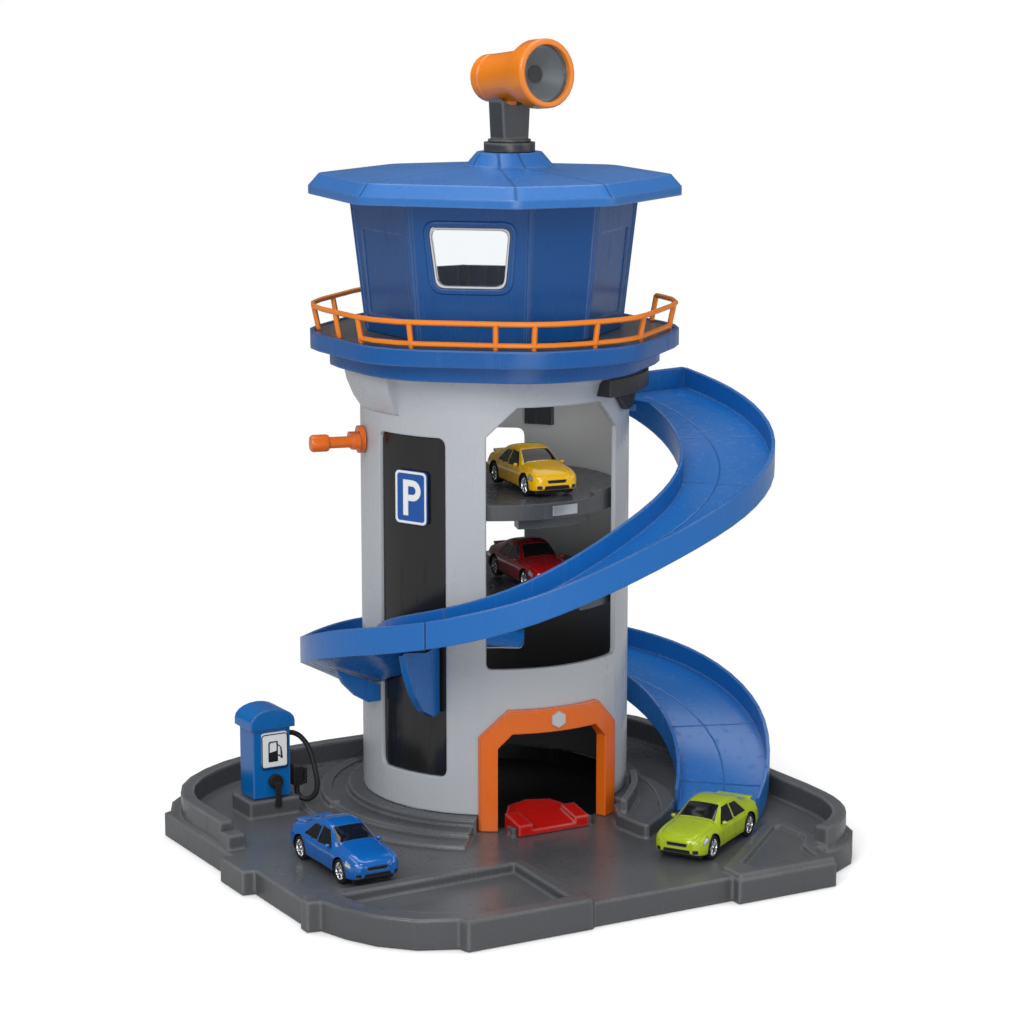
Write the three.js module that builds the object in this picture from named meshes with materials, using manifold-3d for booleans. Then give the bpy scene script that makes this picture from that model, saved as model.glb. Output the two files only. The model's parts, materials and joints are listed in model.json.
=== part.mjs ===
import * as THREE from 'three';
import { mergeVertices } from 'three/addons/utils/BufferGeometryUtils.js';
import Module from 'manifold-3d';

const wasm = await Module();
wasm.setup();

// Millimetres, +Z up. The tower's axis is x = y = 0, the entrance faces -Y and the floor is z = 0.
// Plan angles are degrees from -Y towards +X, so 0 is the front and 90 is the right side.

// Shared clearances
const gap = 0.3;
const slideGap = 0.4;
const overrun = 30;
const arcStep = 5;

// Base
const base = { left: 175, right: 131, front: 191, back: 102, floor: 11.9, pocketDepth: 7, ribWidth: 3 };
const rim = { width: 7, top: 23.5 };
const plinth = { top: 19.6, radius: 78.4, bore: 66 };
const plinthStep = {
	radius: 90, top: 16, outerRadius: 104, outerTop: 13.6, startAngle: -150, endAngle: -37.5,
};
const kerb = { innerRadius: 87, outerRadius: 93, top: 17, startAngle: -152, endAngle: -97 };
const bay = { floor: 9.4, borderTop: 14.6 };
const frontBlock = { top: 14.4, recess: 12.4 };
const channelBlock = { top: 19.4, channel: 18 };
const guard = { width: 3.4, top: 26.8 };
const baseOutlineShares = [
	[-0.964, 0.5], [-0.964, -0.173], [-1, -0.178], [-1, -0.314], [-0.964, -0.319], [-0.964, -0.615],
	[-0.98, -0.62], [-0.98, -0.655], [-0.942, -0.662], [-0.915, -0.745], [-0.868, -0.83], [-0.79, -0.905],
	[-0.69, -0.946], [-0.68, -0.978], [-0.3, -0.98], [-0.285, -0.968], [0.214, -0.968], [0.214, -1],
	[0.652, -1], [0.664, -0.912], [0.758, -0.906], [0.865, -0.866], [0.945, -0.796], [0.985, -0.71],
	[1, -0.6], [1, 0.4], [0.95, 0.66], [0.82, 0.88], [0.66, 0.985], [0.6, 1], [-0.5, 1], [-0.66, 0.95],
	[-0.8, 0.83], [-0.9, 0.66], [-0.94, 0.52],
];
const rimRouteShares = [
	[-0.93, -0.075], [-0.93, 0.1], [-0.925, 0.33], [-0.86, 0.58], [-0.71, 0.8], [-0.53, 0.92], [-0.33, 0.955],
	[0, 0.955], [0.45, 0.955], [0.72, 0.88], [0.9, 0.68], [0.965, 0.4], [0.968, 0], [0.968, -0.3],
	[0.968, -0.6], [0.945, -0.7], [0.885, -0.79], [0.78, -0.86], [0.7, -0.885],
];
const rimNotchShares = [[-0.955, -0.135], [-0.9, -0.135], [-0.9, -0.085], [-0.955, -0.085]];
const bayOuterShares = [
	[-0.964, -0.6], [-0.964, -0.615], [-0.98, -0.62], [-0.98, -0.655], [-0.942, -0.662], [-0.915, -0.745],
	[-0.868, -0.83], [-0.79, -0.905], [-0.69, -0.946], [-0.68, -0.978], [-0.3, -0.98], [-0.29, -0.6],
];
const bayInnerShares = [
	[-0.87, -0.64], [-0.86, -0.7], [-0.82, -0.78], [-0.755, -0.85], [-0.66, -0.9], [-0.65, -0.93],
	[-0.345, -0.93], [-0.325, -0.63],
];
const frontBlockShares = [
	[0.22, -0.92], [0.22, -0.995], [0.65, -0.995], [0.66, -0.9], [0.76, -0.89], [0.76, -0.64],
	[0.72, -0.615], [0.68, -0.65],
];
const frontRecessShares = [
	[0.31, -0.915], [0.31, -0.965], [0.6, -0.96], [0.63, -0.87], [0.71, -0.8], [0.71, -0.69], [0.68, -0.69],
];
const channelBlockShares = [
	[0.24, -0.36], [0.167, -0.467], [0.178, -0.568], [0.187, -0.584], [0.2, -0.588], [0.3, -0.54],
	[0.404, -0.476], [0.467, -0.429], [0.529, -0.343], [0.551, -0.237], [0.545, -0.13], [0.45, -0.12],
];
const channelShares = [
	[0.182, -0.49], [0.212, -0.556], [0.328, -0.504], [0.392, -0.429], [0.465, -0.33], [0.51, -0.24],
	[0.525, -0.17],
	[0.49, -0.16], [0.463, -0.221], [0.434, -0.271], [0.363, -0.356], [0.282, -0.422], [0.195, -0.474],
];
const guardRouteShares = [[0.197, -0.464], [0.268, -0.413], [0.352, -0.345], [0.412, -0.28], [0.449, -0.229]];
const ribShares = [-0.72, -0.36, 0, 0.4, 0.75];

// Tower
const tower = { radius: 70, wall: 2.6, height: 223.8, flareHeight: 19, flareReach: 7.5, sides: 56 };
const flareShares = [[0.08, 0.4], [0.36, 0.75]];
const corbel = { startAngle: -135, endAngle: -73, height: 20.5, reach: 8.6 };
const corbelShares = [[0.08, 0], [0.46, 0.25], [0.8, 0.6]];
const ceiling = { thickness: 1.1, bore: 58 };
const front = { leftAngle: -33, rightAngle: 33, bottom: 96, drop: 14.1, cornerAngle: 13, cornerHeight: 15 };
const frontSill = { cornerAngle: 2, cornerHeight: 2.5 };
const rear = {
	leftAngle: 136.8, rightAngle: 223.2, bottom: 74.5, drop: 45.7, cornerAngle: 3, cornerHeight: 4,
};
const exit = { leftAngle: 60, rightAngle: 112, height: 24.5, cornerAngle: 3, cornerHeight: 3 };
const guide = { startAngle: 122, endAngle: 136, drop: 42.7, height: 10.5, thickness: 3.4 };
const tab = { inset: 0.5, span: 9, drop: 5.4 };
const tabAngles = [-118, -66, 62, 118, 180];

// Side panel and parking sign
const panel = { leftAngle: -86, rightAngle: -50, bottom: 38.5, drop: 30, cornerAngle: 3, cornerHeight: 4 };
const panelSkin = { thickness: 1.6, recess: 1.6 };
const sign = { angle: -66.5, width: 20.4, height: 27.4, drop: 61.7, thickness: 1.2, corner: 2.5 };

// Entrance arch and boarding flap
const arch = { centreAngle: -3.2, thickness: 3, collar: 2.2, edge: 0.9 };
const archOpening = { halfAngle: 25, topHalfAngle: 19, shoulder: 43.6, top: 51.2 };
const archFace = { halfAngle: 32.9, topHalfAngle: 20.8, shoulder: 49.4, top: 63.4 };
const badge = { radius: 4.4, thickness: 0.7, rise: 57.3 };
const flap = { left: -30, width: 41, front: 78.5, depth: 29, frontRise: 3, rearRise: 10, backWidth: 25 };
const flapCheek = { width: 8, depth: 15, frontRise: 6, rearRise: 9 };
const flapPivot = { radius: 1.4, reach: 2, inset: 5 };
const flapLug = { width: 2.4, rise: 4.8, depth: 6 };

// Gallery and railing
const gallery = {
	skirtRadius: 91, skirtHeight: 8.4, bandRadius: 101, bandHeight: 8.7, wall: 2.5, shelf: 5.8, bore: 58,
};
const galleryFloor = { radius: 98, thickness: 2 };
const galleryCorner = { radius: 50, steps: 3 };
const octagonAngles = [-165, -115, -65, -15, 15, 65, 115, 165];
const rail = {
	footRadius: 96.4, topRadius: 99.2, rod: 1.4, topHeight: 13.4, lowHeight: 2.6, lowFrom: 4, sides: 6,
};
const railPostAngles = [-162, -138, -116, -92.5, -77, -56.3, -29, -17.4, 2.5, 23.5, 57, 81];

// Cabin, windows and roof
const cabin = { footRadius: 66, topRadius: 73.8, height: 69.2, wall: 2.4, rib: 1.7 };
const cabinWindow = {
	centreHeight: 42.7, width: 42, lowWidth: 35.5, height: 31, corner: 4.5, trim: 0.9, pane: 1.2, trimDepth: 1.2,
};
const glazedFacet = 2;
const cabinBack = {
	leftAngle: 122, rightAngle: 190, sill: 26.2, lintel: 57.2, cornerAngle: 3, cornerHeight: 4,
};
const doorPanel = { width: 46, height: 44, centreHeight: 31, corner: 2, depth: 0.8 };
const doorFacets = [1, 4];
const roof = {
	radius: 97.6, turn: -8, corner: 14, fascia: 4.2, bevelHeight: 6.2, bevelReach: 5.5, slopeHeight: 4.6,
	bossFoot: 20.6,
};
const boss = { topRadius: 16.8, height: 6.6, sides: 32 };
const roofPocket = { radius: 66, height: 6 };

// Lookout scope
const mast = { x: 6.7, y: -3.8, collarRadius: 13.2, collarHeight: 4.6, footRadius: 11, footHeight: 1.2 };
const post = {
	width: 15.2, topWidth: 18, depth: 12, height: 24, slot: 6, pocket: 9.2, tongue: 6, pinRise: 13, cradle: 1.7,
};
const scope = {
	rise: 32.8, azimuth: 7, tilt: 4.5, frontReach: 34, rearReach: 16.5, barrel: 12.8, bell: 17.4, bore: 8.6,
	mouth: 14.4,
};
const scopeShape = {
	bellLength: 10, neckLength: 12, mouthDepth: 12, grooveDepth: 0.8, grooveWidth: 1.6, eyeRadius: 12.2,
	eyeLength: 6,
};
const scopePin = { radius: 1.6 };
const lens = { thickness: 1.6, seat: 2.2 };
const cone = { length: 7.4, wall: 1.2, smallRadius: 4.6 };

// Ramp: an open trough that winds down round the tower, outside it
const ramp = {
	wallHeight: 10.6, wall: 1.8, floorThickness: 3.2, drop: 25.5, footTop: 13.9, sectionGap: 0.3, offset: 8,
	lane: 45.6,
};
const rampInner = { radius: tower.radius + ramp.offset, x: 17.5, y: 20.7 };
const rampOuter = { radius: rampInner.radius + ramp.lane, x: 21.5, y: 8.4 };
const viewAngle = 29.3;
const rampStartTurn = 128;
const rampEndTurn = -292;
const rampStep = 5;
const rampSeams = [-16, -190];
// Turns where the underside drops to the tower as a fairing: start, full, still full, end
const fairingTurns = [-14, -38, -84, -118];
const fairingDrop = 17;
// Turn about the tower from the entrance side, and the share of the drop still left there
const rampFallShares = [
	[128, 1], [110, 0.957], [90, 0.9], [45, 0.764], [0, 0.572], [-45, 0.462], [-90, 0.357], [-135, 0.327],
	[-180, 0.3], [-230, 0.24], [-265, 0.135], [-292, 0],
];
const landing = { startAngle: 72, endAngle: 99.2 };
const rampBracket = { thickness: 4, toe: 7, riseShare: 0.291, reachShare: 0.93 };
const rampBracketAngles = { left: -88.5, right: -54.5 };
const exitArm = {
	startAngle: 17, endAngle: 60, width: 10, drop: 2.7, height: 8.4, tipAngle: 42, tipSpan: 15, tipDrop: 10,
};

// Crank, belt and lift, in a frame whose X axis points out of the tower through the crank
const drive = { angle: -103.5, drop: 37.7, idlerHeight: 26, beltPlane: 56, beltWidth: 4 };
const pulley = { groove: 8, flange: 9.6, flangeWidth: 1.2 };
const belt = { thickness: 1.1 };
const crank = {
	shaft: 2.8, throw: 7, armFrom: 74, armThickness: 4, armWidth: 8.4, handle: 3, handleLength: 12, spindle: 1.6,
};
const knob = { radius: 4.5, length: 9.4 };
const bushing = { flange: 7.2, flangeThickness: 3, neck: 4.4 };
const rod = { radius: 1.5, offset: 19, plane: 57.4 };
const head = { height: 4, rise: 18.6, inner: 52, halfWidth: 25 };
const idlerBase = { length: 9.6, width: 26, height: 3, cheek: 2.2, pin: 1.6, top: 30 };
const carriage = {
	plane: 50.2, thickness: 3, halfWidth: 23.4, sleeve: 3.7, sleeveHeight: 11, clampWall: 2.6, clampHeight: 8,
};
const clampRise = 17.1;
const deck = {
	radius: 65.2, thickness: 8, drop: 64.1, spacing: 49.7, railHeight: 2.6, railWidth: 3, sides: 72,
};
const deckNotch = { left: -33, width: 47, depth: 17.2 };
const deckRail = { startAngle: 22, endAngle: 56 };
const deckRib = { inner: 50, outer: 60, startAngle: -18, endAngle: 23, drop: 5.5 };
const label = { startAngle: -3, endAngle: 10, height: 5.2, thickness: 0.6 };
const deckArm = { width: 16, height: 5.4, reach: 70, innerShare: 0.55 };

// Fuel pump
const pump = {
	x: -121, y: 28.8, plinthWidth: 28, plinthDepth: 22.5, plinthHeight: 8.8, width: 21, depth: 16, height: 36.6,
};
const pumpCap = { overhang: 2, edge: 3.4, crown: 7, steps: 10 };
const pumpSign = { x: 1.2, rise: 25.6, width: 14.4, height: 18.4, corner: 1.6, thickness: 0.9 };
const holster = { x: 1.6, rise: 8.4, radius: 3.9, thickness: 2, strap: 3.2, strapDrop: 13 };
const hose = { diameter: 2.8, sides: 8, step: 5.6 };
const hoseRoute = [
	[-110.2, 30, 52], [-107.2, 30, 52], [-103.2, 29.2, 51], [-99.4, 27.4, 47.4], [-97, 25.4, 42],
	[-95.8, 23.6, 35.6],
	[-95.2, 22, 30], [-95, 21, 24.4], [-95.8, 21.2, 20], [-97.9, 22.9, 17], [-100.4, 25.4, 16.2],
	[-102.4, 27.8, 17.8], [-103.1, 28.9, 20.6], [-103.1, 28.9, 23.4],
];
const nozzle = {
	x: -103.1, y: 28.9, bottom: 23.7, body: 5.2, height: 10, spout: 1.3, spoutLength: 7, lever: 1.4,
};

// Cars, built with the nose along +X and the wheels on z = 0
const car = {
	length: 72, width: 28.4, height: 24.2, wheelbase: 43.6, wheelRadius: 6, wheelWidth: 4.4, arch: 6.8,
};
const axle = { radius: 0.9, clearance: 0.5, wheelInset: 0.3, sides: 14 };
const chassis = { lengthShare: 0.86, widthShare: 0.76, thickness: 1.1 };
const carShellShares = [
	[-0.5, 0.74, 0.42, 0.56, 0.56, 0.24], [-0.475, 0.9, 0.44, 0.66, 0.68, 0.17],
	[-0.42, 0.98, 0.46, 0.72, 0.72, 0.15], [-0.33, 1, 0.47, 0.72, 0.76, 0.15],
	[-0.22, 0.98, 0.48, 0.66, 0.93, 0.15], [-0.1, 0.96, 0.48, 0.66, 1, 0.15],
	[0.02, 0.96, 0.48, 0.66, 0.99, 0.15], [0.1, 0.97, 0.48, 0.68, 0.92, 0.15],
	[0.22, 0.99, 0.47, 0.74, 0.7, 0.15], [0.33, 1, 0.46, 0.76, 0.63, 0.15],
	[0.42, 0.95, 0.42, 0.72, 0.55, 0.16], [0.475, 0.85, 0.36, 0.62, 0.46, 0.18],
	[0.5, 0.66, 0.32, 0.5, 0.38, 0.24],
];
const shoulderShare = 0.62;
const spoiler = { width: 20, depth: 3.4, low: 13.5, high: 17.4, atShare: -0.462 };
const parkedCar = { x: -128.3, y: -78, headingAngle: -90 };
const rampCar = { x: 46.6, y: -134, headingAngle: -148 };
const deckCar = { x: 8.8, y: -23.6, headingAngle: -97.5, size: 0.93 };

// Finishes
const paint = (color, roughness, metalness = 0) => (
	new THREE.MeshStandardMaterial({ color, roughness, metalness }));
const finish = {
	base: () => paint(0x56585a, 0.5),
	tower: () => paint(0xa9adb1, 0.4),
	black: () => paint(0x2b2b2b, 0.35),
	dark: () => paint(0x3a3c3e, 0.5),
	blue: () => paint(0x2e66ad, 0.4),
	cabinBlue: () => paint(0x1f5699, 0.42),
	rampBlue: () => paint(0x3f74b9, 0.38),
	orange: () => paint(0xe57526, 0.4),
	red: () => paint(0xc01510, 0.35),
	pumpBlue: () => paint(0x0a62b0, 0.35),
	silver: () => paint(0xc4c7ca, 0.3, 0.8),
	steel: () => paint(0xb8babd, 0.3, 1),
	white: () => paint(0xf0f0f0, 0.5),
	rubber: () => paint(0x1c1c1c, 0.7),
	clear: () => Object.assign(paint(0xdfe6ea, 0.08), { transparent: true, opacity: 0.35 }),
};

const rad = THREE.MathUtils.degToRad;

// A point at a plan angle and radius about the tower's axis
function around(radius, angle) {
	return new THREE.Vector2(radius * Math.sin(rad(angle)), -radius * Math.cos(rad(angle)));
}

// A closed geometry as a solid that can be cut and joined
function solidOf(geometry) {
	const bare = geometry.clone();
	bare.deleteAttribute('normal');
	bare.deleteAttribute('uv');
	const merged = mergeVertices(bare);
	const place = merged.attributes.position;
	const corners = [];
	let volume = 0;
	for (let i = 0; i < merged.index.count; i += 3) {
		const [a, b, c] = [0, 1, 2].map((k) => merged.index.getX(i + k));
		if (a === b || b === c || c === a) continue;
		const [p, q, r] = [a, b, c].map((k) => new THREE.Vector3().fromBufferAttribute(place, k));
		volume += p.dot(q.cross(r));
		corners.push(a, b, c);
	}
	if (volume < 0) corners.reverse();
	const mesh = new wasm.Mesh({
		numProp: 3,
		vertProperties: new Float32Array(place.array),
		triVerts: new Uint32Array(corners),
	});
	return new wasm.Manifold(mesh);
}

// A solid back as a three.js geometry
function geometryOf(solid) {
	const mesh = solid.getMesh();
	const geometry = new THREE.BufferGeometry();
	geometry.setAttribute('position', new THREE.BufferAttribute(new Float32Array(mesh.vertProperties), 3));
	geometry.setIndex(new THREE.BufferAttribute(new Uint32Array(mesh.triVerts), 1));
	geometry.computeVertexNormals();
	return geometry;
}

function joined(solids) {
	return solids.reduce((whole, next) => whole.add(next));
}

function cut(solid, tools) {
	return tools.reduce((rest, tool) => rest.subtract(tool), solid);
}

function moved(solid, x, y, z) {
	return solid.translate([x, y, z]);
}

// A flat outline raised from one height to another
function slab(outline, low, high) {
	const shape = outline instanceof THREE.Shape ? outline : new THREE.Shape(outline);
	const geometry = new THREE.ExtrudeGeometry(shape,
		{ depth: high - low, bevelEnabled: false, curveSegments: 6 });
	geometry.translate(0, 0, low);
	return solidOf(geometry);
}

function block(x0, x1, y0, y1, z0, z1) {
	const geometry = new THREE.BoxGeometry(x1 - x0, y1 - y0, z1 - z0);
	geometry.translate((x0 + x1) / 2, (y0 + y1) / 2, (z0 + z1) / 2);
	return solidOf(geometry);
}

// A profile of [radius, height] points turned about the Z axis
function turned(profile, sides) {
	const points = profile.map(([radius, height]) => new THREE.Vector2(radius, height));
	const geometry = new THREE.LatheGeometry(points, sides);
	geometry.rotateX(Math.PI / 2);
	return solidOf(geometry);
}

function disc(radius, low, high, sides) {
	return turned([[0, low], [radius, low], [radius, high], [0, high]], sides);
}

function ring(inner, outer, low, high, sides) {
	return turned([[inner, low], [outer, low], [outer, high], [inner, high], [inner, low]], sides);
}

// A round bar between two points
function bar(from, to, radius, sides) {
	const start = new THREE.Vector3(...from);
	const along = new THREE.Vector3(...to).sub(start);
	const geometry = new THREE.CylinderGeometry(radius, radius, along.length(), sides);
	geometry.translate(0, along.length() / 2, 0);
	const up = new THREE.Vector3(0, 1, 0);
	geometry.applyQuaternion(new THREE.Quaternion().setFromUnitVectors(up, along.normalize()));
	geometry.translate(start.x, start.y, start.z);
	return solidOf(geometry);
}

// A body through rings of points, capped at both ends; flat gives a ring's points on its own plane
function loft(rings, flat) {
	const count = rings[0].length;
	const positions = rings.flat().flatMap((point) => [point.x, point.y, point.z]);
	const index = [];
	for (let i = 0; i + 1 < rings.length; i += 1) {
		for (let j = 0; j < count; j += 1) {
			const a = i * count + j;
			const b = i * count + ((j + 1) % count);
			index.push(a, b, b + count, a, b + count, a + count);
		}
	}
	const cap = (ringIndex, backwards) => {
		const outline = flat(ringIndex);
		const facing = Math.sign(THREE.ShapeUtils.area(outline));
		for (const face of THREE.ShapeUtils.triangulateShape(outline, [])) {
			const turn = Math.sign(THREE.ShapeUtils.area(face.map((k) => outline[k])));
			const ordered = turn === facing ? face : [...face].reverse();
			const corners = backwards ? [...ordered].reverse() : ordered;
			index.push(...corners.map((k) => ringIndex * count + k));
		}
	};
	cap(0, true);
	cap(rings.length - 1, false);
	const geometry = new THREE.BufferGeometry();
	geometry.setAttribute('position', new THREE.Float32BufferAttribute(positions, 3));
	geometry.setIndex(index);
	return solidOf(geometry);
}

// An outline of [angle, height] points with its long slopes split into short ones, each slope bowed a hair
function refined(outline) {
	return outline.flatMap(([angle, height], i) => {
		const [nextAngle, nextHeight] = outline[(i + 1) % outline.length];
		const level = Math.abs(nextHeight - height) < gap;
		const steps = level ? 1 : Math.max(1, Math.ceil((Math.abs(nextAngle - angle) * 2) / arcStep));
		return Array.from({ length: steps }, (_, k) => {
			const along = k / steps;
			const bow = (gap / 4) * Math.sin(Math.PI * along);
			return [angle + (nextAngle - angle) * along, height + (nextHeight - height) * along + bow];
		});
	});
}

// A tool that cuts or keeps an outline of [angle, height] points, straight out from the tower's axis
function radialPrism(corners, inner, outer) {
	const outline = refined(corners);
	const at = (radius) => outline.map(([angle, height]) => {
		const spot = around(radius, angle);
		return new THREE.Vector3(spot.x, spot.y, height);
	});
	return loft([at(inner), at(outer)], () => (
		outline.map(([angle, height]) => new THREE.Vector2(angle, height))));
}

// A slab between two radii and two plan angles
function sector(inner, outer, startAngle, endAngle, low, high) {
	const steps = Math.max(1, Math.ceil((endAngle - startAngle) / arcStep));
	const angles = Array.from({ length: steps + 1 },
		(_, i) => startAngle + ((endAngle - startAngle) * i) / steps);
	const outline = [...angles.map((a) => around(outer, a)), ...angles.reverse().map((a) => around(inner, a))];
	return slab(outline, low, high);
}

// An opening's outline in [angle, height], with its upper and lower corners taken off in few or more steps
function openingOutline(hole, upper, lower, upperSteps, lowerSteps) {
	const corner = (cx, cz, sx, sz, size, steps, flip) => {
		const points = [];
		for (let i = 0; i <= steps; i += 1) {
			const turn = (Math.PI / 2) * ((flip ? steps - i : i) / steps);
			const dx = size.cornerAngle * (1 - Math.cos(turn));
			const dz = size.cornerHeight * (1 - Math.sin(turn));
			points.push([cx - sx * dx, cz - sz * dz]);
		}
		return points;
	};
	return [
		...corner(hole.leftAngle, hole.bottom, -1, -1, lower, lowerSteps, false),
		...corner(hole.rightAngle, hole.bottom, 1, -1, lower, lowerSteps, true),
		...corner(hole.rightAngle, hole.top, 1, 1, upper, upperSteps, false),
		...corner(hole.leftAngle, hole.top, -1, 1, upper, upperSteps, true),
	];
}

// A rectangle with round corners about the origin
function roundedRectangle(width, height, corner) {
	const [w, h] = [width / 2, height / 2];
	const shape = new THREE.Shape();
	shape.moveTo(-w + corner, -h);
	shape.lineTo(w - corner, -h);
	shape.quadraticCurveTo(w, -h, w, -h + corner);
	shape.lineTo(w, h - corner);
	shape.quadraticCurveTo(w, h, w - corner, h);
	shape.lineTo(-w + corner, h);
	shape.quadraticCurveTo(-w, h, -w, h - corner);
	shape.lineTo(-w, -h + corner);
	shape.quadraticCurveTo(-w, -h, -w + corner, -h);
	return shape;
}

// A window's outline, narrower at its foot, shrunk all round by an inset
function windowShape(inset) {
	const { width, lowWidth, height, corner } = cabinWindow;
	const [top, low, h] = [width / 2 - inset, lowWidth / 2 - inset, height / 2 - inset];
	const corners = [[-low, -h], [low, -h], [top, h], [-top, h]].map(([x, y]) => new THREE.Vector2(x, y));
	const shape = new THREE.Shape();
	corners.forEach((p, i) => {
		const before = corners[(i + 3) % 4].clone().sub(p).setLength(corner).add(p);
		const after = corners[(i + 1) % 4].clone().sub(p).setLength(corner).add(p);
		if (i === 0) shape.moveTo(before.x, before.y);
		else shape.lineTo(before.x, before.y);
		shape.quadraticCurveTo(p.x, p.y, after.x, after.y);
	});
	return shape;
}

// A wall of one width along a plan route
function ribbon(route, width) {
	const curve = new THREE.CatmullRomCurve3(route.map((p) => new THREE.Vector3(p.x, p.y, 0)), false,
		'centripetal');
	const points = curve.getPoints(route.length * 2);
	const side = (sign) => points.map((point, i) => {
		const along = curve.getTangent(i / (points.length - 1));
		return new THREE.Vector2(point.x - (sign * along.y * width) / 2, point.y + (sign * along.x * width) / 2);
	});
	return [...side(1), ...side(-1).reverse()];
}

function octagon(radius) {
	return octagonAngles.map((angle) => around(radius, angle));
}

// The octagon with its corners rounded off
function softOctagon(radius, rounding = galleryCorner.radius) {
	const corners = octagon(radius);
	return corners.flatMap((corner, i) => {
		const before = corners[(i + corners.length - 1) % corners.length];
		const after = corners[(i + 1) % corners.length];
		const [back, ahead] = [before, after].map((p) => p.clone().sub(corner).normalize());
		const half = back.angleTo(ahead) / 2;
		const centre = back.clone().add(ahead).setLength(rounding / Math.sin(half)).add(corner);
		const start = back.multiplyScalar(rounding / Math.tan(half)).add(corner);
		const sweep = Math.PI - half * 2;
		return Array.from({ length: galleryCorner.steps + 1 }, (_, k) => (
			start.clone().rotateAround(centre, (sweep * k) / galleryCorner.steps)));
	});
}

// An octagon's plan at each [radius, height], joined up into a solid
function octagonStack(levels, planOf = octagon) {
	const rings = levels.map(([radius, z]) => planOf(radius).map((p) => new THREE.Vector3(p.x, p.y, z)));
	return loft(rings, () => planOf(levels[0][0]));
}

// The roof's plan, turned a little against the cabin's
function roofPlan(radius) {
	return softOctagon(radius, roof.corner).map((p) => p.rotateAround(new THREE.Vector2(), rad(roof.turn)));
}

// Stacked heights, each seated on the piece below, with the belt's inner face and the wall tools' reach
const beltInner = pulley.groove + gap * 1.3;
const towerFoot = plinth.top + gap;
const towerTop = towerFoot + tower.height;
const flareStart = towerTop - tower.flareHeight;
const towerBore = tower.radius - tower.wall;
const wallReach = [towerBore - tower.wall / 2, tower.radius * 2];
const galleryBottom = towerTop + gap;
const ledge = galleryBottom + gallery.skirtHeight;
const galleryTop = ledge + gallery.bandHeight;
const floorBottom = ledge + gallery.shelf + gap;
const floorTop = floorBottom + galleryFloor.thickness;
const cabinBottom = floorTop + gap;
const cabinTop = cabinBottom + cabin.height;
const roofBottom = cabinTop + gap;
const roofRise = roof.fascia + roof.bevelHeight + roof.slopeHeight;
const bossTop = roofBottom + roofRise + boss.height;
const collarTop = bossTop + gap + mast.collarHeight;

// Heights that hang from the tower's top
const frontHole = { ...front, top: towerTop - front.drop };
const rearHole = { ...rear, top: towerTop - rear.drop };
const panelHole = { ...panel, top: towerTop - panel.drop };
const rampStart = towerTop - ramp.drop;
const crankHeight = towerTop - drive.drop;
const headTop = crankHeight + head.rise;
const upperDeckTop = towerTop - deck.drop;
const lowerDeckTop = upperDeckTop - deck.spacing;
const clampBottom = lowerDeckTop + clampRise;

const assembly = new THREE.Group();

function piece(parent, name, solid, material) {
	const mesh = new THREE.Mesh(solid.isBufferGeometry ? solid : geometryOf(solid), material);
	mesh.name = name;
	parent.add(mesh);
	return mesh;
}

// Points of the base, as shares of how far it reaches to each side of the tower's axis
function basePoints(shares) {
	return shares.map(([u, v]) => {
		const x = u * (u < 0 ? base.left : base.right);
		const y = v * (v < 0 ? base.front : base.back);
		return new THREE.Vector2(x, y);
	});
}

function baseUnderside() {
	const inset = 1 - (2 * rim.width) / (base.left + base.right);
	const pocketOutline = basePoints(baseOutlineShares).map((p) => p.multiplyScalar(inset));
	const ribs = [
		...ribShares.map((share) => {
			const x = share * base.right;
			return block(x - base.ribWidth / 2, x + base.ribWidth / 2, -base.front, base.back, -overrun,
				base.pocketDepth);
		}),
		...ribShares.map((share) => {
			const y = share * base.back * 2;
			return block(-base.left, base.right, y - base.ribWidth / 2, y + base.ribWidth / 2, -overrun,
				base.pocketDepth);
		}),
	];
	return cut(slab(pocketOutline, -overrun, base.pocketDepth), ribs);
}

// The tower's foot tabs, or the slots they drop into when grown by a clearance
function footTabs(clearance) {
	return tabAngles.map((angle) => {
		const half = tab.span / 2 + clearance;
		const inner = tower.radius - tower.wall + tab.inset - clearance;
		const outer = tower.radius - tab.inset + clearance;
		return sector(inner, outer, angle - half, angle + half, towerFoot - tab.drop - clearance,
			towerFoot + clearance);
	});
}

// A step round the plinth's left side, out to a radius and up to a height
function plinthStepTo(radius, top) {
	return sector(plinth.bore, radius, plinthStep.startAngle, plinthStep.endAngle, base.floor / 2, top);
}

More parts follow.
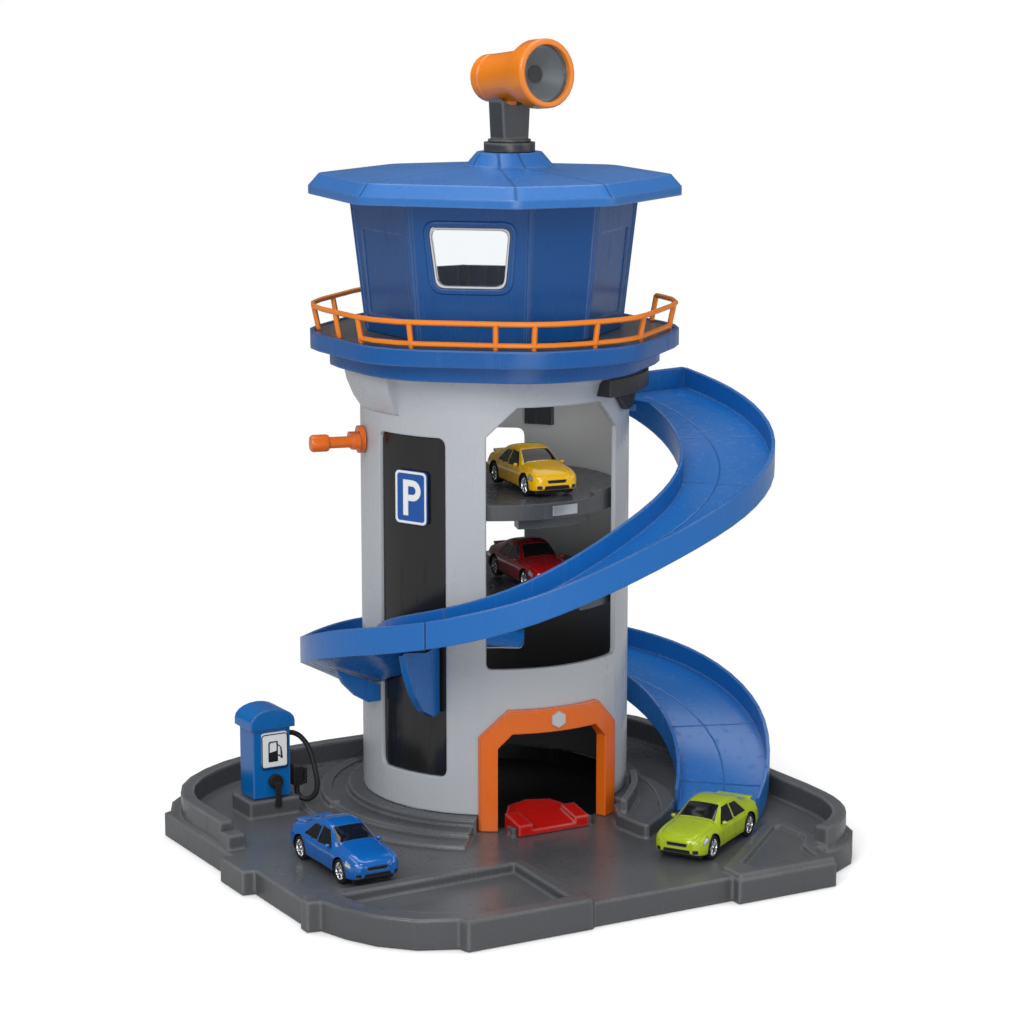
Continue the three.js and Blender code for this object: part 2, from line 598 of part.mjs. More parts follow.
function makeBase() {
	const body = joined([
		slab(basePoints(baseOutlineShares), 0, base.floor),
		slab(ribbon(basePoints(rimRouteShares), rim.width), base.floor / 2, rim.top),
		slab(basePoints(rimNotchShares), base.floor / 2, channelBlock.top),
		disc(plinth.radius, base.floor / 2, plinth.top, tower.sides),
		plinthStepTo(plinthStep.radius, plinthStep.top),
		plinthStepTo(plinthStep.outerRadius, plinthStep.outerTop),
		sector(kerb.innerRadius, kerb.outerRadius, kerb.startAngle, kerb.endAngle, base.floor / 2, kerb.top),
		slab(basePoints(bayOuterShares), base.floor / 2, bay.borderTop),
		slab(basePoints(frontBlockShares), base.floor / 2, frontBlock.top),
		slab(basePoints(channelBlockShares), base.floor / 2, channelBlock.top),
		block(pump.x - pump.plinthWidth / 2, pump.x + pump.plinthWidth / 2, pump.y - pump.plinthDepth / 2,
			pump.y + pump.plinthDepth / 2, base.floor / 2, base.floor + pump.plinthHeight),
	]);
	const lane = sector(plinth.bore - 1, plinth.radius + gap, arch.centreAngle - archFace.halfAngle - gap,
		arch.centreAngle + archFace.halfAngle + gap, base.floor, overrun);
	const shaft = disc(plinth.bore, base.floor, overrun, tower.sides);
	const carved = cut(body, [
		lane,
		shaft,
		slab(basePoints(bayInnerShares), bay.floor, overrun),
		slab(basePoints(frontRecessShares), frontBlock.recess, overrun),
		slab(basePoints(channelShares), channelBlock.channel, overrun),
		baseUnderside(),
		...footTabs(gap),
	]);
	const guardWall = slab(ribbon(basePoints(guardRouteShares), guard.width), base.floor / 2, guard.top);
	return joined([carved, guardWall, ...flapLugs()]);
}

function towerSkin(extra) {
	const outer = tower.radius + extra;
	return turned([
		[0, -overrun], [outer, -overrun], ...flareProfile(outer), [outer + tower.flareReach, towerTop + overrun],
		[0, towerTop + overrun],
	], tower.sides);
}

// The flare's profile, from the straight wall of a radius up to the tower's top
function flareProfile(radius) {
	const curve = flareShares.map(([out, up]) => (
		[radius + out * tower.flareReach, flareStart + up * tower.flareHeight]));
	return [[radius, flareStart], ...curve, [radius + tower.flareReach, towerTop]];
}

// The swelling under the gallery over the crank
function makeCorbel() {
	const low = towerTop - corbel.height;
	const curve = corbelShares.map(([out, up]) => [tower.radius + out * corbel.reach, low + up * corbel.height]);
	const seat = tower.radius - tower.wall / 2;
	const swelling = turned([
		[seat, low], ...curve, [tower.radius + corbel.reach, towerTop], [seat, towerTop], [seat, low],
	], tower.sides);
	const keep = sector(tower.radius / 2, tower.radius * 2, corbel.startAngle, corbel.endAngle, 0,
		towerTop + gap);
	return swelling.intersect(keep);
}

function makeTower() {
	const shell = turned([
		[towerBore, towerFoot], [tower.radius, towerFoot], ...flareProfile(tower.radius),
		...flareProfile(towerBore).reverse(), [towerBore, towerFoot],
	], tower.sides);
	const roofPlate = ring(ceiling.bore, towerBore + tower.flareReach * 0.95, towerTop - ceiling.thickness,
		towerTop, tower.sides);
	const crankWay = around(overrun * 4, drive.angle);
	const exitHole = { ...exit, bottom: rampStart - gap, top: rampStart - gap + exit.height };
	return cut(joined([shell, makeCorbel(), roofPlate, ...footTabs(0)]), [
		radialPrism(openingOutline(frontHole, front, frontSill, 1, 3), ...wallReach),
		radialPrism(openingOutline(panelHole, panel, panel, 3, 3), ...wallReach),
		radialPrism(openingOutline(rearHole, rear, rear, 3, 3), ...wallReach),
		radialPrism(openingOutline(exitHole, exit, exit, 2, 2), ...wallReach),
		bar([0, 0, crankHeight], [crankWay.x, crankWay.y, crankHeight], bushing.neck + gap * 1.3, 20),
		radialPrism(archOutline(archCollar(gap)), ...wallReach),
	]);
}

// The arch's opening with room for its collar, grown by a clearance
function archCollar(clearance) {
	const grow = arch.collar + clearance;
	const growAngle = THREE.MathUtils.radToDeg(grow / tower.radius);
	return {
		halfAngle: archOpening.halfAngle + growAngle,
		topHalfAngle: archOpening.topHalfAngle + growAngle / 2,
		shoulder: archOpening.shoulder + grow / 2,
		top: archOpening.top + grow,
	};
}

// An arch outline in [angle, height], run down past the base's floor
function archOutline({ halfAngle, topHalfAngle, shoulder, top }) {
	const c = arch.centreAngle;
	return [
		[c - halfAngle, 0], [c + halfAngle, 0], [c + halfAngle, base.floor + shoulder],
		[c + topHalfAngle, base.floor + top], [c - topHalfAngle, base.floor + top],
		[c - halfAngle, base.floor + shoulder],
	];
}

// A curved plate of an arch outline between two radii, standing just clear of the base's floor
function archPlate(outline, inner, outer) {
	const skin = ring(inner, outer, base.floor + gap, towerTop / 2, tower.sides);
	return skin.intersect(radialPrism(archOutline(outline), ...wallReach));
}

function makeArch() {
	const seat = tower.radius + gap;
	const front = seat + arch.thickness;
	const slim = {
		halfAngle: archFace.halfAngle - arch.edge, topHalfAngle: archFace.topHalfAngle - arch.edge / 2,
		shoulder: archFace.shoulder - arch.edge / 2, top: archFace.top - arch.edge,
	};
	const whole = joined([
		archPlate(archCollar(0), towerBore, seat + arch.thickness / 2),
		archPlate(archFace, seat, front - arch.edge),
		archPlate(slim, seat, front),
	]);
	const blank = moved(disc(badge.radius, 0, badge.thickness * 2, 6).rotate([90, 0, 0]), 0,
		-front + badge.thickness, base.floor + badge.rise).rotate([0, 0, arch.centreAngle]);
	const opening = radialPrism(archOutline(archOpening), ...wallReach);
	return joined([whole.subtract(opening), blank]);
}

// A block along Y with a sloping top, from [y, height] corners
function ramped(x0, x1, near, far, nearTop, farTop) {
	const low = base.floor + slideGap;
	const side = [[near, low], [far, low], [far, base.floor + farTop], [near, base.floor + nearTop]];
	const rings = [x0, x1].map((x) => side.map(([y, z]) => new THREE.Vector3(x, y, z)));
	return loft(rings, () => side.map(([y, z]) => new THREE.Vector2(y, z)));
}

function makeFlap() {
	const left = flap.left;
	const right = flap.left + flap.width;
	const middle = (left + right) / 2;
	const [near, far] = [-flap.front, -flap.front + flap.depth];
	const cheekEnd = near + flapCheek.depth;
	const plan = [
		[left, near], [right, near], [right, cheekEnd], [middle + flap.backWidth / 2, far - flap.frontRise],
		[middle, far], [middle - flap.backWidth / 2, far - flap.frontRise], [left, cheekEnd],
	].map(([x, y]) => new THREE.Vector2(x, y));
	const plate = ramped(left, right, near, far, flap.frontRise, flap.rearRise)
		.intersect(slab(plan, 0, overrun));
	const pivotY = near + flapPivot.inset;
	const pivotZ = base.floor + flapPivot.radius + slideGap * 2;
	return joined([
		plate,
		ramped(left, left + flapCheek.width, near, cheekEnd, flapCheek.frontRise, flapCheek.rearRise),
		ramped(right - flapCheek.width, right, near, cheekEnd, flapCheek.frontRise, flapCheek.rearRise),
		bar([left - flapPivot.reach, pivotY, pivotZ], [right + flapPivot.reach, pivotY, pivotZ],
			flapPivot.radius, 10),
	]);
}

// Bearing lugs on the lane for the flap's two trunnions
function flapLugs() {
	const pivotY = -flap.front + flapPivot.inset;
	const pivotZ = base.floor + flapPivot.radius + slideGap * 2;
	const sides = [flap.left - slideGap - flapLug.width, flap.left + flap.width + slideGap];
	const lugs = sides.map((x) => block(x, x + flapLug.width, pivotY - flapLug.depth / 2,
		pivotY + flapLug.depth / 2, base.floor / 2, base.floor + flapLug.rise));
	const bore = bar([flap.left - overrun, pivotY, pivotZ], [flap.left + flap.width + overrun, pivotY, pivotZ],
		flapPivot.radius + gap, 10);
	return lugs.map((lug) => lug.subtract(bore));
}

function makeSidePanel() {
	const hole = {
		leftAngle: panel.leftAngle + gap, rightAngle: panel.rightAngle - gap,
		bottom: panel.bottom + gap, top: panelHole.top - gap,
	};
	const outer = tower.radius - panelSkin.recess;
	const skin = ring(outer - panelSkin.thickness, outer, hole.bottom - gap, hole.top + gap, tower.sides);
	const keep = radialPrism(openingOutline(hole, panel, panel, 3, 3), ...wallReach);
	return skin.intersect(keep);
}

// A plate that stands upright and faces out from the tower at a plan angle
function standingPlate(shape, thickness, distance, angle, height) {
	const geometry = new THREE.ExtrudeGeometry(shape,
		{ depth: thickness, bevelEnabled: false, curveSegments: 4 });
	geometry.rotateX(Math.PI / 2);
	geometry.translate(0, -distance, 0);
	geometry.rotateZ(rad(angle));
	geometry.translate(0, 0, height);
	return solidOf(geometry);
}

function makeSign() {
	const back = tower.radius - panelSkin.recess + gap;
	return standingPlate(roundedRectangle(sign.width, sign.height, sign.corner), sign.thickness, back,
		sign.angle, towerTop - sign.drop);
}

function makeGallery() {
	const tray = octagonStack([
		[gallery.skirtRadius, galleryBottom], [gallery.skirtRadius, ledge], [gallery.bandRadius, ledge],
		[gallery.bandRadius, galleryTop],
	], softOctagon);
	const lower = octagonStack([
		[gallery.skirtRadius - gallery.wall, galleryBottom + gallery.wall],
		[gallery.skirtRadius - gallery.wall, ledge + gallery.shelf],
	], softOctagon);
	const inside = gallery.bandRadius - gallery.wall;
	const upper = octagonStack([[inside, ledge + gallery.shelf], [inside, galleryTop + overrun]], softOctagon);
	const bore = disc(gallery.bore, 0, galleryTop, tower.sides);
	return cut(tray, [lower, upper, bore]);
}

function makeGalleryFloor() {
	return octagonStack([[galleryFloor.radius, floorBottom], [galleryFloor.radius, floorTop]], softOctagon);
}

// The place on a closed outline round the tower's axis at a plan angle
function outlineAt(outline, angle) {
	const way = around(1, angle);
	const next = (i) => outline[(i + 1) % outline.length];
	const i = outline.findIndex((p, k) => p.cross(way) >= 0 && next(k).cross(way) < 0);
	const before = outline[i].cross(way);
	return outline[i].clone().lerp(next(i), before / (before - next(i).cross(way)));
}

// A round rod along a level plan line
function levelRod(line, height, radius, sides) {
	const turns = Array.from({ length: sides }, (_, k) => ((k + 0.5) * Math.PI * 2) / sides);
	const rings = line.map((p, i) => {
		const along = line[Math.min(line.length - 1, i + 1)].clone().sub(line[Math.max(0, i - 1)]).normalize();
		return turns.map((turn) => {
			const out = radius * Math.cos(turn);
			return new THREE.Vector3(p.x + along.y * out, p.y - along.x * out, height + radius * Math.sin(turn));
		});
	});
	return loft(rings, () => turns.map((turn) => new THREE.Vector2(Math.cos(turn), Math.sin(turn))));
}

// The railing's outline at a height above the floor; it leans out towards its top
function railOutline(height) {
	const radius = rail.footRadius + ((rail.topRadius - rail.footRadius) * height) / rail.topHeight;
	return softOctagon(radius);
}

// The railing's line at a height, from one post to another
function railLine(height, fromPost, toPost) {
	const outline = railOutline(height);
	const [first, last] = [railPostAngles[fromPost], railPostAngles[toPost]];
	const between = outline.filter((p) => {
		const angle = THREE.MathUtils.radToDeg(Math.atan2(p.x, -p.y));
		return angle > first && angle < last;
	});
	return [outlineAt(outline, first), ...between, outlineAt(outline, last)];
}

function makeRailing() {
	const foot = floorTop + gap;
	const lastPost = railPostAngles.length - 1;
	const posts = railPostAngles.map((angle) => {
		const [low, high] = [gap, rail.topHeight].map((height) => outlineAt(railOutline(height), angle));
		return bar([low.x, low.y, foot + gap], [high.x, high.y, foot + rail.topHeight], rail.rod, rail.sides);
	});
	const topRod = levelRod(railLine(rail.topHeight, 0, lastPost), foot + rail.topHeight, rail.rod, rail.sides);
	const lowRod = levelRod(railLine(rail.lowHeight, rail.lowFrom, lastPost - 1), foot + rail.lowHeight,
		rail.rod, rail.sides);
	return joined([topRod, lowRod, ...posts]);
}

// The cabin's octagon radius at a height above its foot
function cabinRadius(height) {
	return cabin.footRadius + ((cabin.topRadius - cabin.footRadius) * height) / cabin.height;
}

// A facet's plan angle, its distance from the axis at a height above the foot, and its lean
function cabinFacet(facet, height) {
	const a = octagonAngles[facet];
	const b = octagonAngles[(facet + 1) % octagonAngles.length] + (facet === octagonAngles.length - 1 ? 360 : 0);
	const half = rad((b - a) / 2);
	const distance = cabinRadius(height) * Math.cos(half);
	const lean = Math.atan(((cabin.topRadius - cabin.footRadius) * Math.cos(half)) / cabin.height);
	return { angle: (a + b) / 2, distance, lean };
}

// A plate on a cabin facet; out is how far its front stands from the facet
function facetPlate(shape, facet, height, out, thickness) {
	const { angle, distance, lean } = cabinFacet(facet, height);
	const geometry = new THREE.ExtrudeGeometry(shape,
		{ depth: thickness, bevelEnabled: false, curveSegments: 4 });
	geometry.translate(0, 0, out - thickness);
	geometry.rotateX(Math.PI / 2 + lean);
	geometry.translate(0, -distance, 0);
	geometry.rotateZ(rad(angle));
	geometry.translate(0, 0, cabinBottom + height);
	return solidOf(geometry);
}

function makeCabin() {
	const outer = octagonStack([[cabin.footRadius, cabinBottom], [cabin.topRadius, cabinTop]]);
	const inner = octagonStack([
		[cabin.footRadius - cabin.wall, cabinBottom - gap], [cabin.topRadius - cabin.wall, cabinTop + gap],
	]);
	const ribs = octagonAngles.map((angle) => {
		const foot = around(cabin.footRadius - cabin.rib / 2, angle);
		const top = around(cabin.topRadius - cabin.rib / 2, angle);
		const ends = [[foot.x, foot.y, cabinBottom + cabin.rib / 2], [top.x, top.y, cabinTop - cabin.rib / 2]];
		return bar(...ends, cabin.rib, 8);
	});
	const window = facetPlate(windowShape(0), glazedFacet, cabinWindow.centreHeight, cabin.wall, cabin.wall * 4);
	const backHole = { ...cabinBack, bottom: cabinBottom + cabinBack.sill, top: cabinBottom + cabinBack.lintel };
	const back = radialPrism(openingOutline(backHole, cabinBack, cabinBack, 2, 2), cabin.footRadius * 0.8,
		cabin.topRadius * 2);
	const door = roundedRectangle(doorPanel.width, doorPanel.height, doorPanel.corner);
	const doors = doorFacets.map((facet) => facetPlate(door, facet, doorPanel.centreHeight, cabin.wall,
		cabin.wall + doorPanel.depth));
	return cut(joined([outer, ...ribs]).subtract(inner), [window, back, ...doors]);
}

function makeCabinPane() {
	const shape = windowShape(cabinWindow.trim + gap * 2);
	return facetPlate(shape, glazedFacet, cabinWindow.centreHeight, 0, cabinWindow.pane);
}

function makeWindowTrim() {
	const depth = cabin.wall + cabinWindow.trimDepth;
	const height = cabinWindow.centreHeight;
	const outer = facetPlate(windowShape(gap), glazedFacet, height, cabinWindow.trimDepth / 2, depth);
	const hole = windowShape(cabinWindow.trim + gap);
	return outer.subtract(facetPlate(hole, glazedFacet, height, cabin.wall, depth * 2));
}

function makeRoof() {
	const bevelTop = roofBottom + roof.fascia + roof.bevelHeight;
	const cap = octagonStack([
		[roof.radius, roofBottom], [roof.radius, roofBottom + roof.fascia],
		[roof.radius - roof.bevelReach, bevelTop],
		[roof.bossFoot, roofBottom + roofRise],
	], roofPlan);
	const hub = turned([
		[0, bevelTop], [roof.bossFoot * 1.1, bevelTop], [roof.bossFoot * 1.1, roofBottom + roofRise - gap],
		[roof.bossFoot, roofBottom + roofRise + boss.height / 3], [boss.topRadius, bossTop], [0, bossTop],
	], boss.sides);
	const pocket = octagonStack([
		[roofPocket.radius, roofBottom - gap], [roofPocket.radius * 0.9, roofBottom + roofPocket.height],
	]);
	return joined([cap, moved(hub, mast.x, mast.y, 0)]).subtract(pocket);
}

// The scope, in a frame on the mast's axis with z = 0 on the collar's top
function makeScope(parent) {
	const swivel = new THREE.Group();
	swivel.position.set(mast.x, mast.y, collarTop + gap);
	swivel.rotation.z = rad(scope.azimuth);
	parent.add(swivel);
	piece(swivel, 'scope_post', makePost(), finish.dark());
	const fork = new THREE.Group();
	fork.position.z = post.pinRise;
	fork.rotation.x = rad(-scope.tilt);
	swivel.add(fork);
	const barrel = new THREE.Group();
	barrel.position.z = scope.rise - post.pinRise;
	barrel.rotation.x = Math.PI / 2;
	fork.add(barrel);
	piece(barrel, 'scope_tube', makeScopeTube(), finish.orange());
	piece(barrel, 'scope_lens', makeLens(), finish.clear());
	piece(barrel, 'scope_cone', makeCone(), finish.black());
}

function makePost() {
	const top = mast.footHeight + post.height;
	const section = (width, z) => [[-1, -1], [1, -1], [1, 1], [-1, 1]].map(([u, v]) => (
		new THREE.Vector3((u * width) / 2, (v * post.depth) / 2, z)));
	const column = loft([section(post.width, mast.footHeight / 2), section(post.topWidth, top - gap)],
		() => [[-1, -1], [1, -1], [1, 1], [-1, 1]].map(([u, v]) => new THREE.Vector2(u, v)));
	const slotHalf = post.slot / 2 + slideGap;
	const slotFloor = post.pinRise - scopePin.radius * 3;
	const forked = cut(joined([disc(mast.footRadius, 0, mast.footHeight, 32), column]), [
		block(-slotHalf, slotHalf, -post.pocket / 2, post.pocket / 2, slotFloor, top + overrun),
		bar([0, -overrun, scope.rise], [0, overrun, scope.rise], scope.barrel + post.cradle, 24),
	]);
	const half = post.width / 2 - gap;
	return forked.add(bar([-half, 0, post.pinRise], [half, 0, post.pinRise], scopePin.radius, 12));
}

// The barrel's own frame: z runs back from the front ring, and the mast is at z = 0
function makeScopeTube() {
	const f = scope.frontReach;
	const r = scope.rearReach;
	const s = scopeShape;
	const eyeEnd = -r + s.eyeLength;
	const tube = turned([
		[0, -r], [s.eyeRadius - s.grooveDepth, -r], [s.eyeRadius, -r + s.grooveDepth], [s.eyeRadius, eyeEnd],
		[s.eyeRadius - s.grooveDepth, eyeEnd + s.grooveWidth / 2], [s.eyeRadius, eyeEnd + s.grooveWidth],
		[scope.barrel, f - s.bellLength - s.neckLength], [scope.bell, f - s.bellLength],
		[scope.bell, f - s.grooveDepth], [scope.bell - s.grooveDepth, f], [scope.mouth, f],
		[scope.mouth, f - s.mouthDepth], [scope.bore, f - s.mouthDepth],
		[scope.bore, -r + s.eyeLength / 2], [0, -r + s.eyeLength / 2],
	], 28);
	const tongueTop = scope.barrel - scopeShape.grooveDepth;
	const tongueLow = scope.rise - post.pinRise + scopePin.radius * 2;
	const tongue = block(-post.slot / 2, post.slot / 2, -tongueLow, -tongueTop, -post.tongue / 2,
		post.tongue / 2);
	const pinHole = bar([-overrun, post.pinRise - scope.rise, 0], [overrun, post.pinRise - scope.rise, 0],
		scopePin.radius + gap, 12);
	return tube.add(tongue).subtract(pinHole);
}

function makeLens() {
	const front = scope.frontReach - lens.seat;
	return disc(scope.mouth - gap, front - lens.thickness, front, 28);
}

function makeCone() {
	const near = scope.frontReach - lens.seat - lens.thickness - gap;
	const far = near - cone.length;
	return turned([
		[cone.smallRadius, far], [scope.mouth - gap, far], [scope.mouth - gap, near],
		[scope.mouth - gap - cone.wall, near], [cone.smallRadius, far],
	], 28);
}

// Radius from the tower's axis to a circle that stands off it, at a turn from the entrance side
function circleReach(circle, turn) {
	const [s, c] = [Math.sin(rad(turn)), Math.cos(rad(turn))];
	const lead = circle.x * s + circle.y * c;
	return lead + Math.sqrt(circle.radius ** 2 - circle.x ** 2 - circle.y ** 2 + lead ** 2);
}

// The lane's floor height at a turn, eased between the points of its fall
function rampFloor(turn) {
	const points = rampFallShares;
	const at = Math.max(1, points.findIndex(([t]) => t <= turn));
	const slope = (i) => {
		const a = points[Math.max(0, i - 1)];
		const b = points[Math.min(points.length - 1, i + 1)];
		return (b[1] - a[1]) / (b[0] - a[0]);
	};
	const [t0, v0] = points[at - 1];
	const [t1, v1] = points[at];
	const span = t1 - t0;
	const u = (turn - t0) / span;
	const h = [2 * u ** 3 - 3 * u ** 2 + 1, u ** 3 - 2 * u ** 2 + u, 3 * u ** 2 - 2 * u ** 3, u ** 3 - u ** 2];
	const share = h[0] * v0 + h[1] * span * slope(at - 1) + h[2] * v1 + h[3] * span * slope(at);
	return ramp.footTop + share * (rampStart - ramp.footTop);
}

// How far the underside drops at the tower at a turn, eased in and out
function fairingAt(turn) {
	const [start, full, last, end] = fairingTurns;
	const grown = THREE.MathUtils.smoothstep(-turn, -start, -full);
	const left = 1 - THREE.MathUtils.smoothstep(-turn, -last, -end);
	return fairingDrop * grown * left;
}

// The trough's cross-section at a turn, as [radius, height]
function troughSection(turn) {
	const outer = circleReach(rampOuter, turn);
	const inner = circleReach(rampInner, turn);
	const floor = rampFloor(turn);
	const under = Math.max(base.floor + gap, floor - ramp.floorThickness);
	const top = floor + ramp.wallHeight;
	const seat = Math.max(inner, tower.radius - tower.wall);
	return [
		[seat, under - fairingAt(turn)], [outer, under], [outer, top], [outer - ramp.wall, top],
		[outer - ramp.wall, floor], [seat + ramp.wall, floor], [seat + ramp.wall, top], [seat, top],
	];
}

function trough(fromTurn, toTurn) {
	const steps = Math.ceil((fromTurn - toTurn) / rampStep);
	const turns = Array.from({ length: steps + 1 }, (_, i) => fromTurn + ((toTurn - fromTurn) * i) / steps);
	const rings = turns.map((turn) => troughSection(turn).map(([radius, z]) => {
		const spot = around(radius, turn - viewAngle);
		return new THREE.Vector3(spot.x, spot.y, z);
	}));
	const flat = (i) => troughSection(turns[i]).map(([radius, z]) => new THREE.Vector2(radius, z));
	return loft(rings, flat).subtract(towerSkin(gap));
}

// The flat landing between the exit opening and the lane's start, with the end wall behind it
function landingPlate() {
	const startTurn = landing.endAngle + viewAngle;
	const reach = circleReach(rampInner, startTurn);
	const outerReach = circleReach(rampOuter, startTurn);
	const low = rampStart - ramp.floorThickness;
	const plate = sector(towerBore, reach + ramp.wall + gap, landing.startAngle, landing.endAngle, low,
		rampStart);
	const endWall = sector(tower.radius, outerReach, landing.endAngle, landing.endAngle + arcStep / 4, low,
		rampStart + ramp.wallHeight);
	return joined([plate, endWall]).subtract(towerSkin(gap));
}

function makeRampTop() {
	const lane = trough(rampStartTurn, rampSeams[0] + ramp.sectionGap / 2);
	const startTurn = landing.startAngle + viewAngle;
	const mouthReach = circleReach(rampInner, startTurn) + ramp.wall + slideGap;
	const mouth = sector(tower.radius, mouthReach, landing.startAngle, landing.endAngle + gap, rampStart,
		rampStart + overrun);
	return joined([lane.subtract(mouth), landingPlate()]);
}

// A gusset plate that stands out from the tower under the lane
function makeRampBracket(angle) {
	const wall = tower.radius + gap;
	const low = base.floor + (rampStart - base.floor) * rampBracket.riseShare;
	const turn = angle + viewAngle;
	const reach = circleReach(rampOuter, turn) * rampBracket.reachShare;
	const span = reach - wall;
	const high = rampFloor(turn) + ramp.floorThickness;
	const side = [
		[wall - tower.wall, low], [wall + rampBracket.toe, low], [wall + span * 0.45, low + (high - low) * 0.12],
		[wall + span * 0.68, low + (high - low) * 0.34], [wall + span * 0.85, low + (high - low) * 0.62],
		[reach, high], [wall - tower.wall, high],
	];
	const geometry = new THREE.ExtrudeGeometry(new THREE.Shape(side.map(([r, z]) => new THREE.Vector2(r, z))),
		{ depth: rampBracket.thickness, bevelEnabled: false });
	geometry.rotateX(Math.PI / 2);
	geometry.translate(0, rampBracket.thickness / 2, 0);
	geometry.rotateZ(rad(angle - 90));
	const cover = moved(underCover(turn + arcStep * 2, turn - arcStep * 2), 0, 0, -gap * 4);
	return cut(solidOf(geometry), [cover, towerSkin(gap)]);
}

// Everything over the lane's underside between two turns
function underCover(fromTurn, toTurn) {
	const steps = 6;
	const turns = Array.from({ length: steps + 1 }, (_, i) => fromTurn + ((toTurn - fromTurn) * i) / steps);
	const section = (turn) => {
		const [[seat, seatLow], [outer, low]] = troughSection(turn);
		const near = tower.radius / 2;
		return [[near, seatLow], [seat, seatLow], [outer, low], [outer + overrun, low],
			[outer + overrun, low + overrun * 2], [near, low + overrun * 2]];
	};
	const rings = turns.map((turn) => section(turn).map(([radius, z]) => {
		const spot = around(radius, turn - viewAngle);
		return new THREE.Vector3(spot.x, spot.y, z);
	}));
	return loft(rings, (i) => section(turns[i]).map(([radius, z]) => new THREE.Vector2(radius, z)));
}

function makeExitArm() {
	const high = towerTop - exitArm.drop;
	const low = high - exitArm.height;
	const band = sector(tower.radius, tower.radius + exitArm.width, exitArm.startAngle, exitArm.endAngle, low,
		high);
	const half = exitArm.tipSpan;
	const tip = radialPrism([
		[exitArm.tipAngle - half, low + gap], [exitArm.tipAngle - half / 4, low - exitArm.tipDrop],
		[exitArm.tipAngle + half / 4, low - exitArm.tipDrop], [exitArm.tipAngle + half * 1.4, low + gap],
	], tower.radius, tower.radius + exitArm.width / 3);
	return cut(joined([band, tip]), [towerSkin(gap * 1.5), trough(rampStartTurn, rampStartTurn - arcStep * 8)]);
}

// Everything driven by the crank, in a frame whose X axis runs out through it
function makeDrive(parent) {
	const frame = new THREE.Group();
	frame.rotation.z = rad(drive.angle - 90);
	parent.add(frame);
	piece(frame, 'crank_arm', makeCrank(), finish.orange());
	piece(frame, 'crank_knob', makeKnob(), finish.orange());
	piece(frame, 'crank_bushing', makeBushing(), finish.orange());
	piece(frame, 'drive_pulley', makePulley(crankHeight, crank.shaft), finish.dark());
	piece(frame, 'idler_pulley', makePulley(drive.idlerHeight, idlerBase.pin), finish.dark());
	piece(frame, 'idler_bracket', makeIdlerBracket(), finish.base());
	piece(frame, 'drive_belt', makeBelt(), finish.rubber());
	piece(frame, 'lift_head', makeHead(), finish.dark());
	piece(frame, 'guide_rods', makeRods(), finish.steel());
	piece(frame, 'lift_carriage', makeCarriage(), finish.dark());
}

function makeCrank() {
	const from = drive.beltPlane - pulley.flangeWidth - gap * 2;
	const z = crankHeight;
	const half = crank.armWidth / 2;
	const far = crank.armFrom + crank.armThickness;
	const handleEnd = far + crank.handleLength;
	const away = crank.throw;
	return joined([
		bar([from, 0, z], [crank.armFrom + crank.armThickness / 2, 0, z], crank.shaft, 16),
		block(crank.armFrom, far, 0, away, z - half, z + half),
		bar([crank.armFrom, 0, z], [far, 0, z], half, 16),
		bar([crank.armFrom, away, z], [far, away, z], half, 16),
		bar([far - gap, away, z], [handleEnd, away, z], crank.handle, 14),
		bar([handleEnd - gap, away, z], [handleEnd + knob.length - knob.radius / 2, away, z], crank.spindle, 12),
	]);
}

function makeKnob() {
	const from = crank.armFrom + crank.armThickness + crank.handleLength + gap;
	const bore = crank.spindle + gap;
	const body = turned([
		[bore, 0], [knob.radius * 0.88, 0], [knob.radius, knob.length * 0.12], [knob.radius, knob.length * 0.86],
		[knob.radius * 0.82, knob.length], [0, knob.length], [0, knob.length - knob.radius * 0.3],
		[bore, knob.length - knob.radius * 0.3], [bore, 0],
	], 20);
	return moved(body.rotate([0, 90, 0]), from, crank.throw, crankHeight);
}

function makeBushing() {
	const inner = crank.shaft + gap;
	const seat = tower.radius + gap;
	const body = turned([
		[inner, towerBore - bushing.flangeThickness], [bushing.neck, towerBore - bushing.flangeThickness],
		[bushing.neck, seat], [bushing.flange, seat], [bushing.flange, seat + bushing.flangeThickness],
		[inner, seat + bushing.flangeThickness], [inner, towerBore - bushing.flangeThickness],
	], 20);
	return moved(body.rotate([0, 90, 0]), 0, 0, crankHeight);
}

function makePulley(height, shaftRadius) {
	const bore = shaftRadius + gap;
	const side = pulley.flangeWidth;
	const width = drive.beltWidth + gap * 2;
	const body = turned([
		[bore, -side], [pulley.flange, -side], [pulley.flange, 0], [pulley.groove, 0], [pulley.groove, width],
		[pulley.flange, width], [pulley.flange, width + side], [bore, width + side], [bore, -side],
	], 24);
	return moved(body.rotate([0, 90, 0]), drive.beltPlane, 0, height);
}

function stadium(radius, low, high, steps) {
	const points = [];
	for (const [centre, start] of [[high, 0], [low, Math.PI]]) {
		for (let i = 0; i <= steps; i += 1) {
			const turn = start + (Math.PI * i) / steps;
			points.push(new THREE.Vector2(radius * Math.cos(turn), centre + radius * Math.sin(turn)));
		}
	}
	return points;
}

function makeBelt() {
	const inner = beltInner;
	const shape = new THREE.Shape(stadium(inner + belt.thickness, drive.idlerHeight, crankHeight, 14));
	shape.holes.push(new THREE.Path(stadium(inner, drive.idlerHeight, crankHeight, 14)));
	const geometry = new THREE.ExtrudeGeometry(shape, { depth: drive.beltWidth, bevelEnabled: false });
	geometry.rotateX(Math.PI / 2);
	geometry.rotateZ(Math.PI / 2);
	geometry.translate(drive.beltPlane + gap, 0, 0);
	return solidOf(geometry);
}

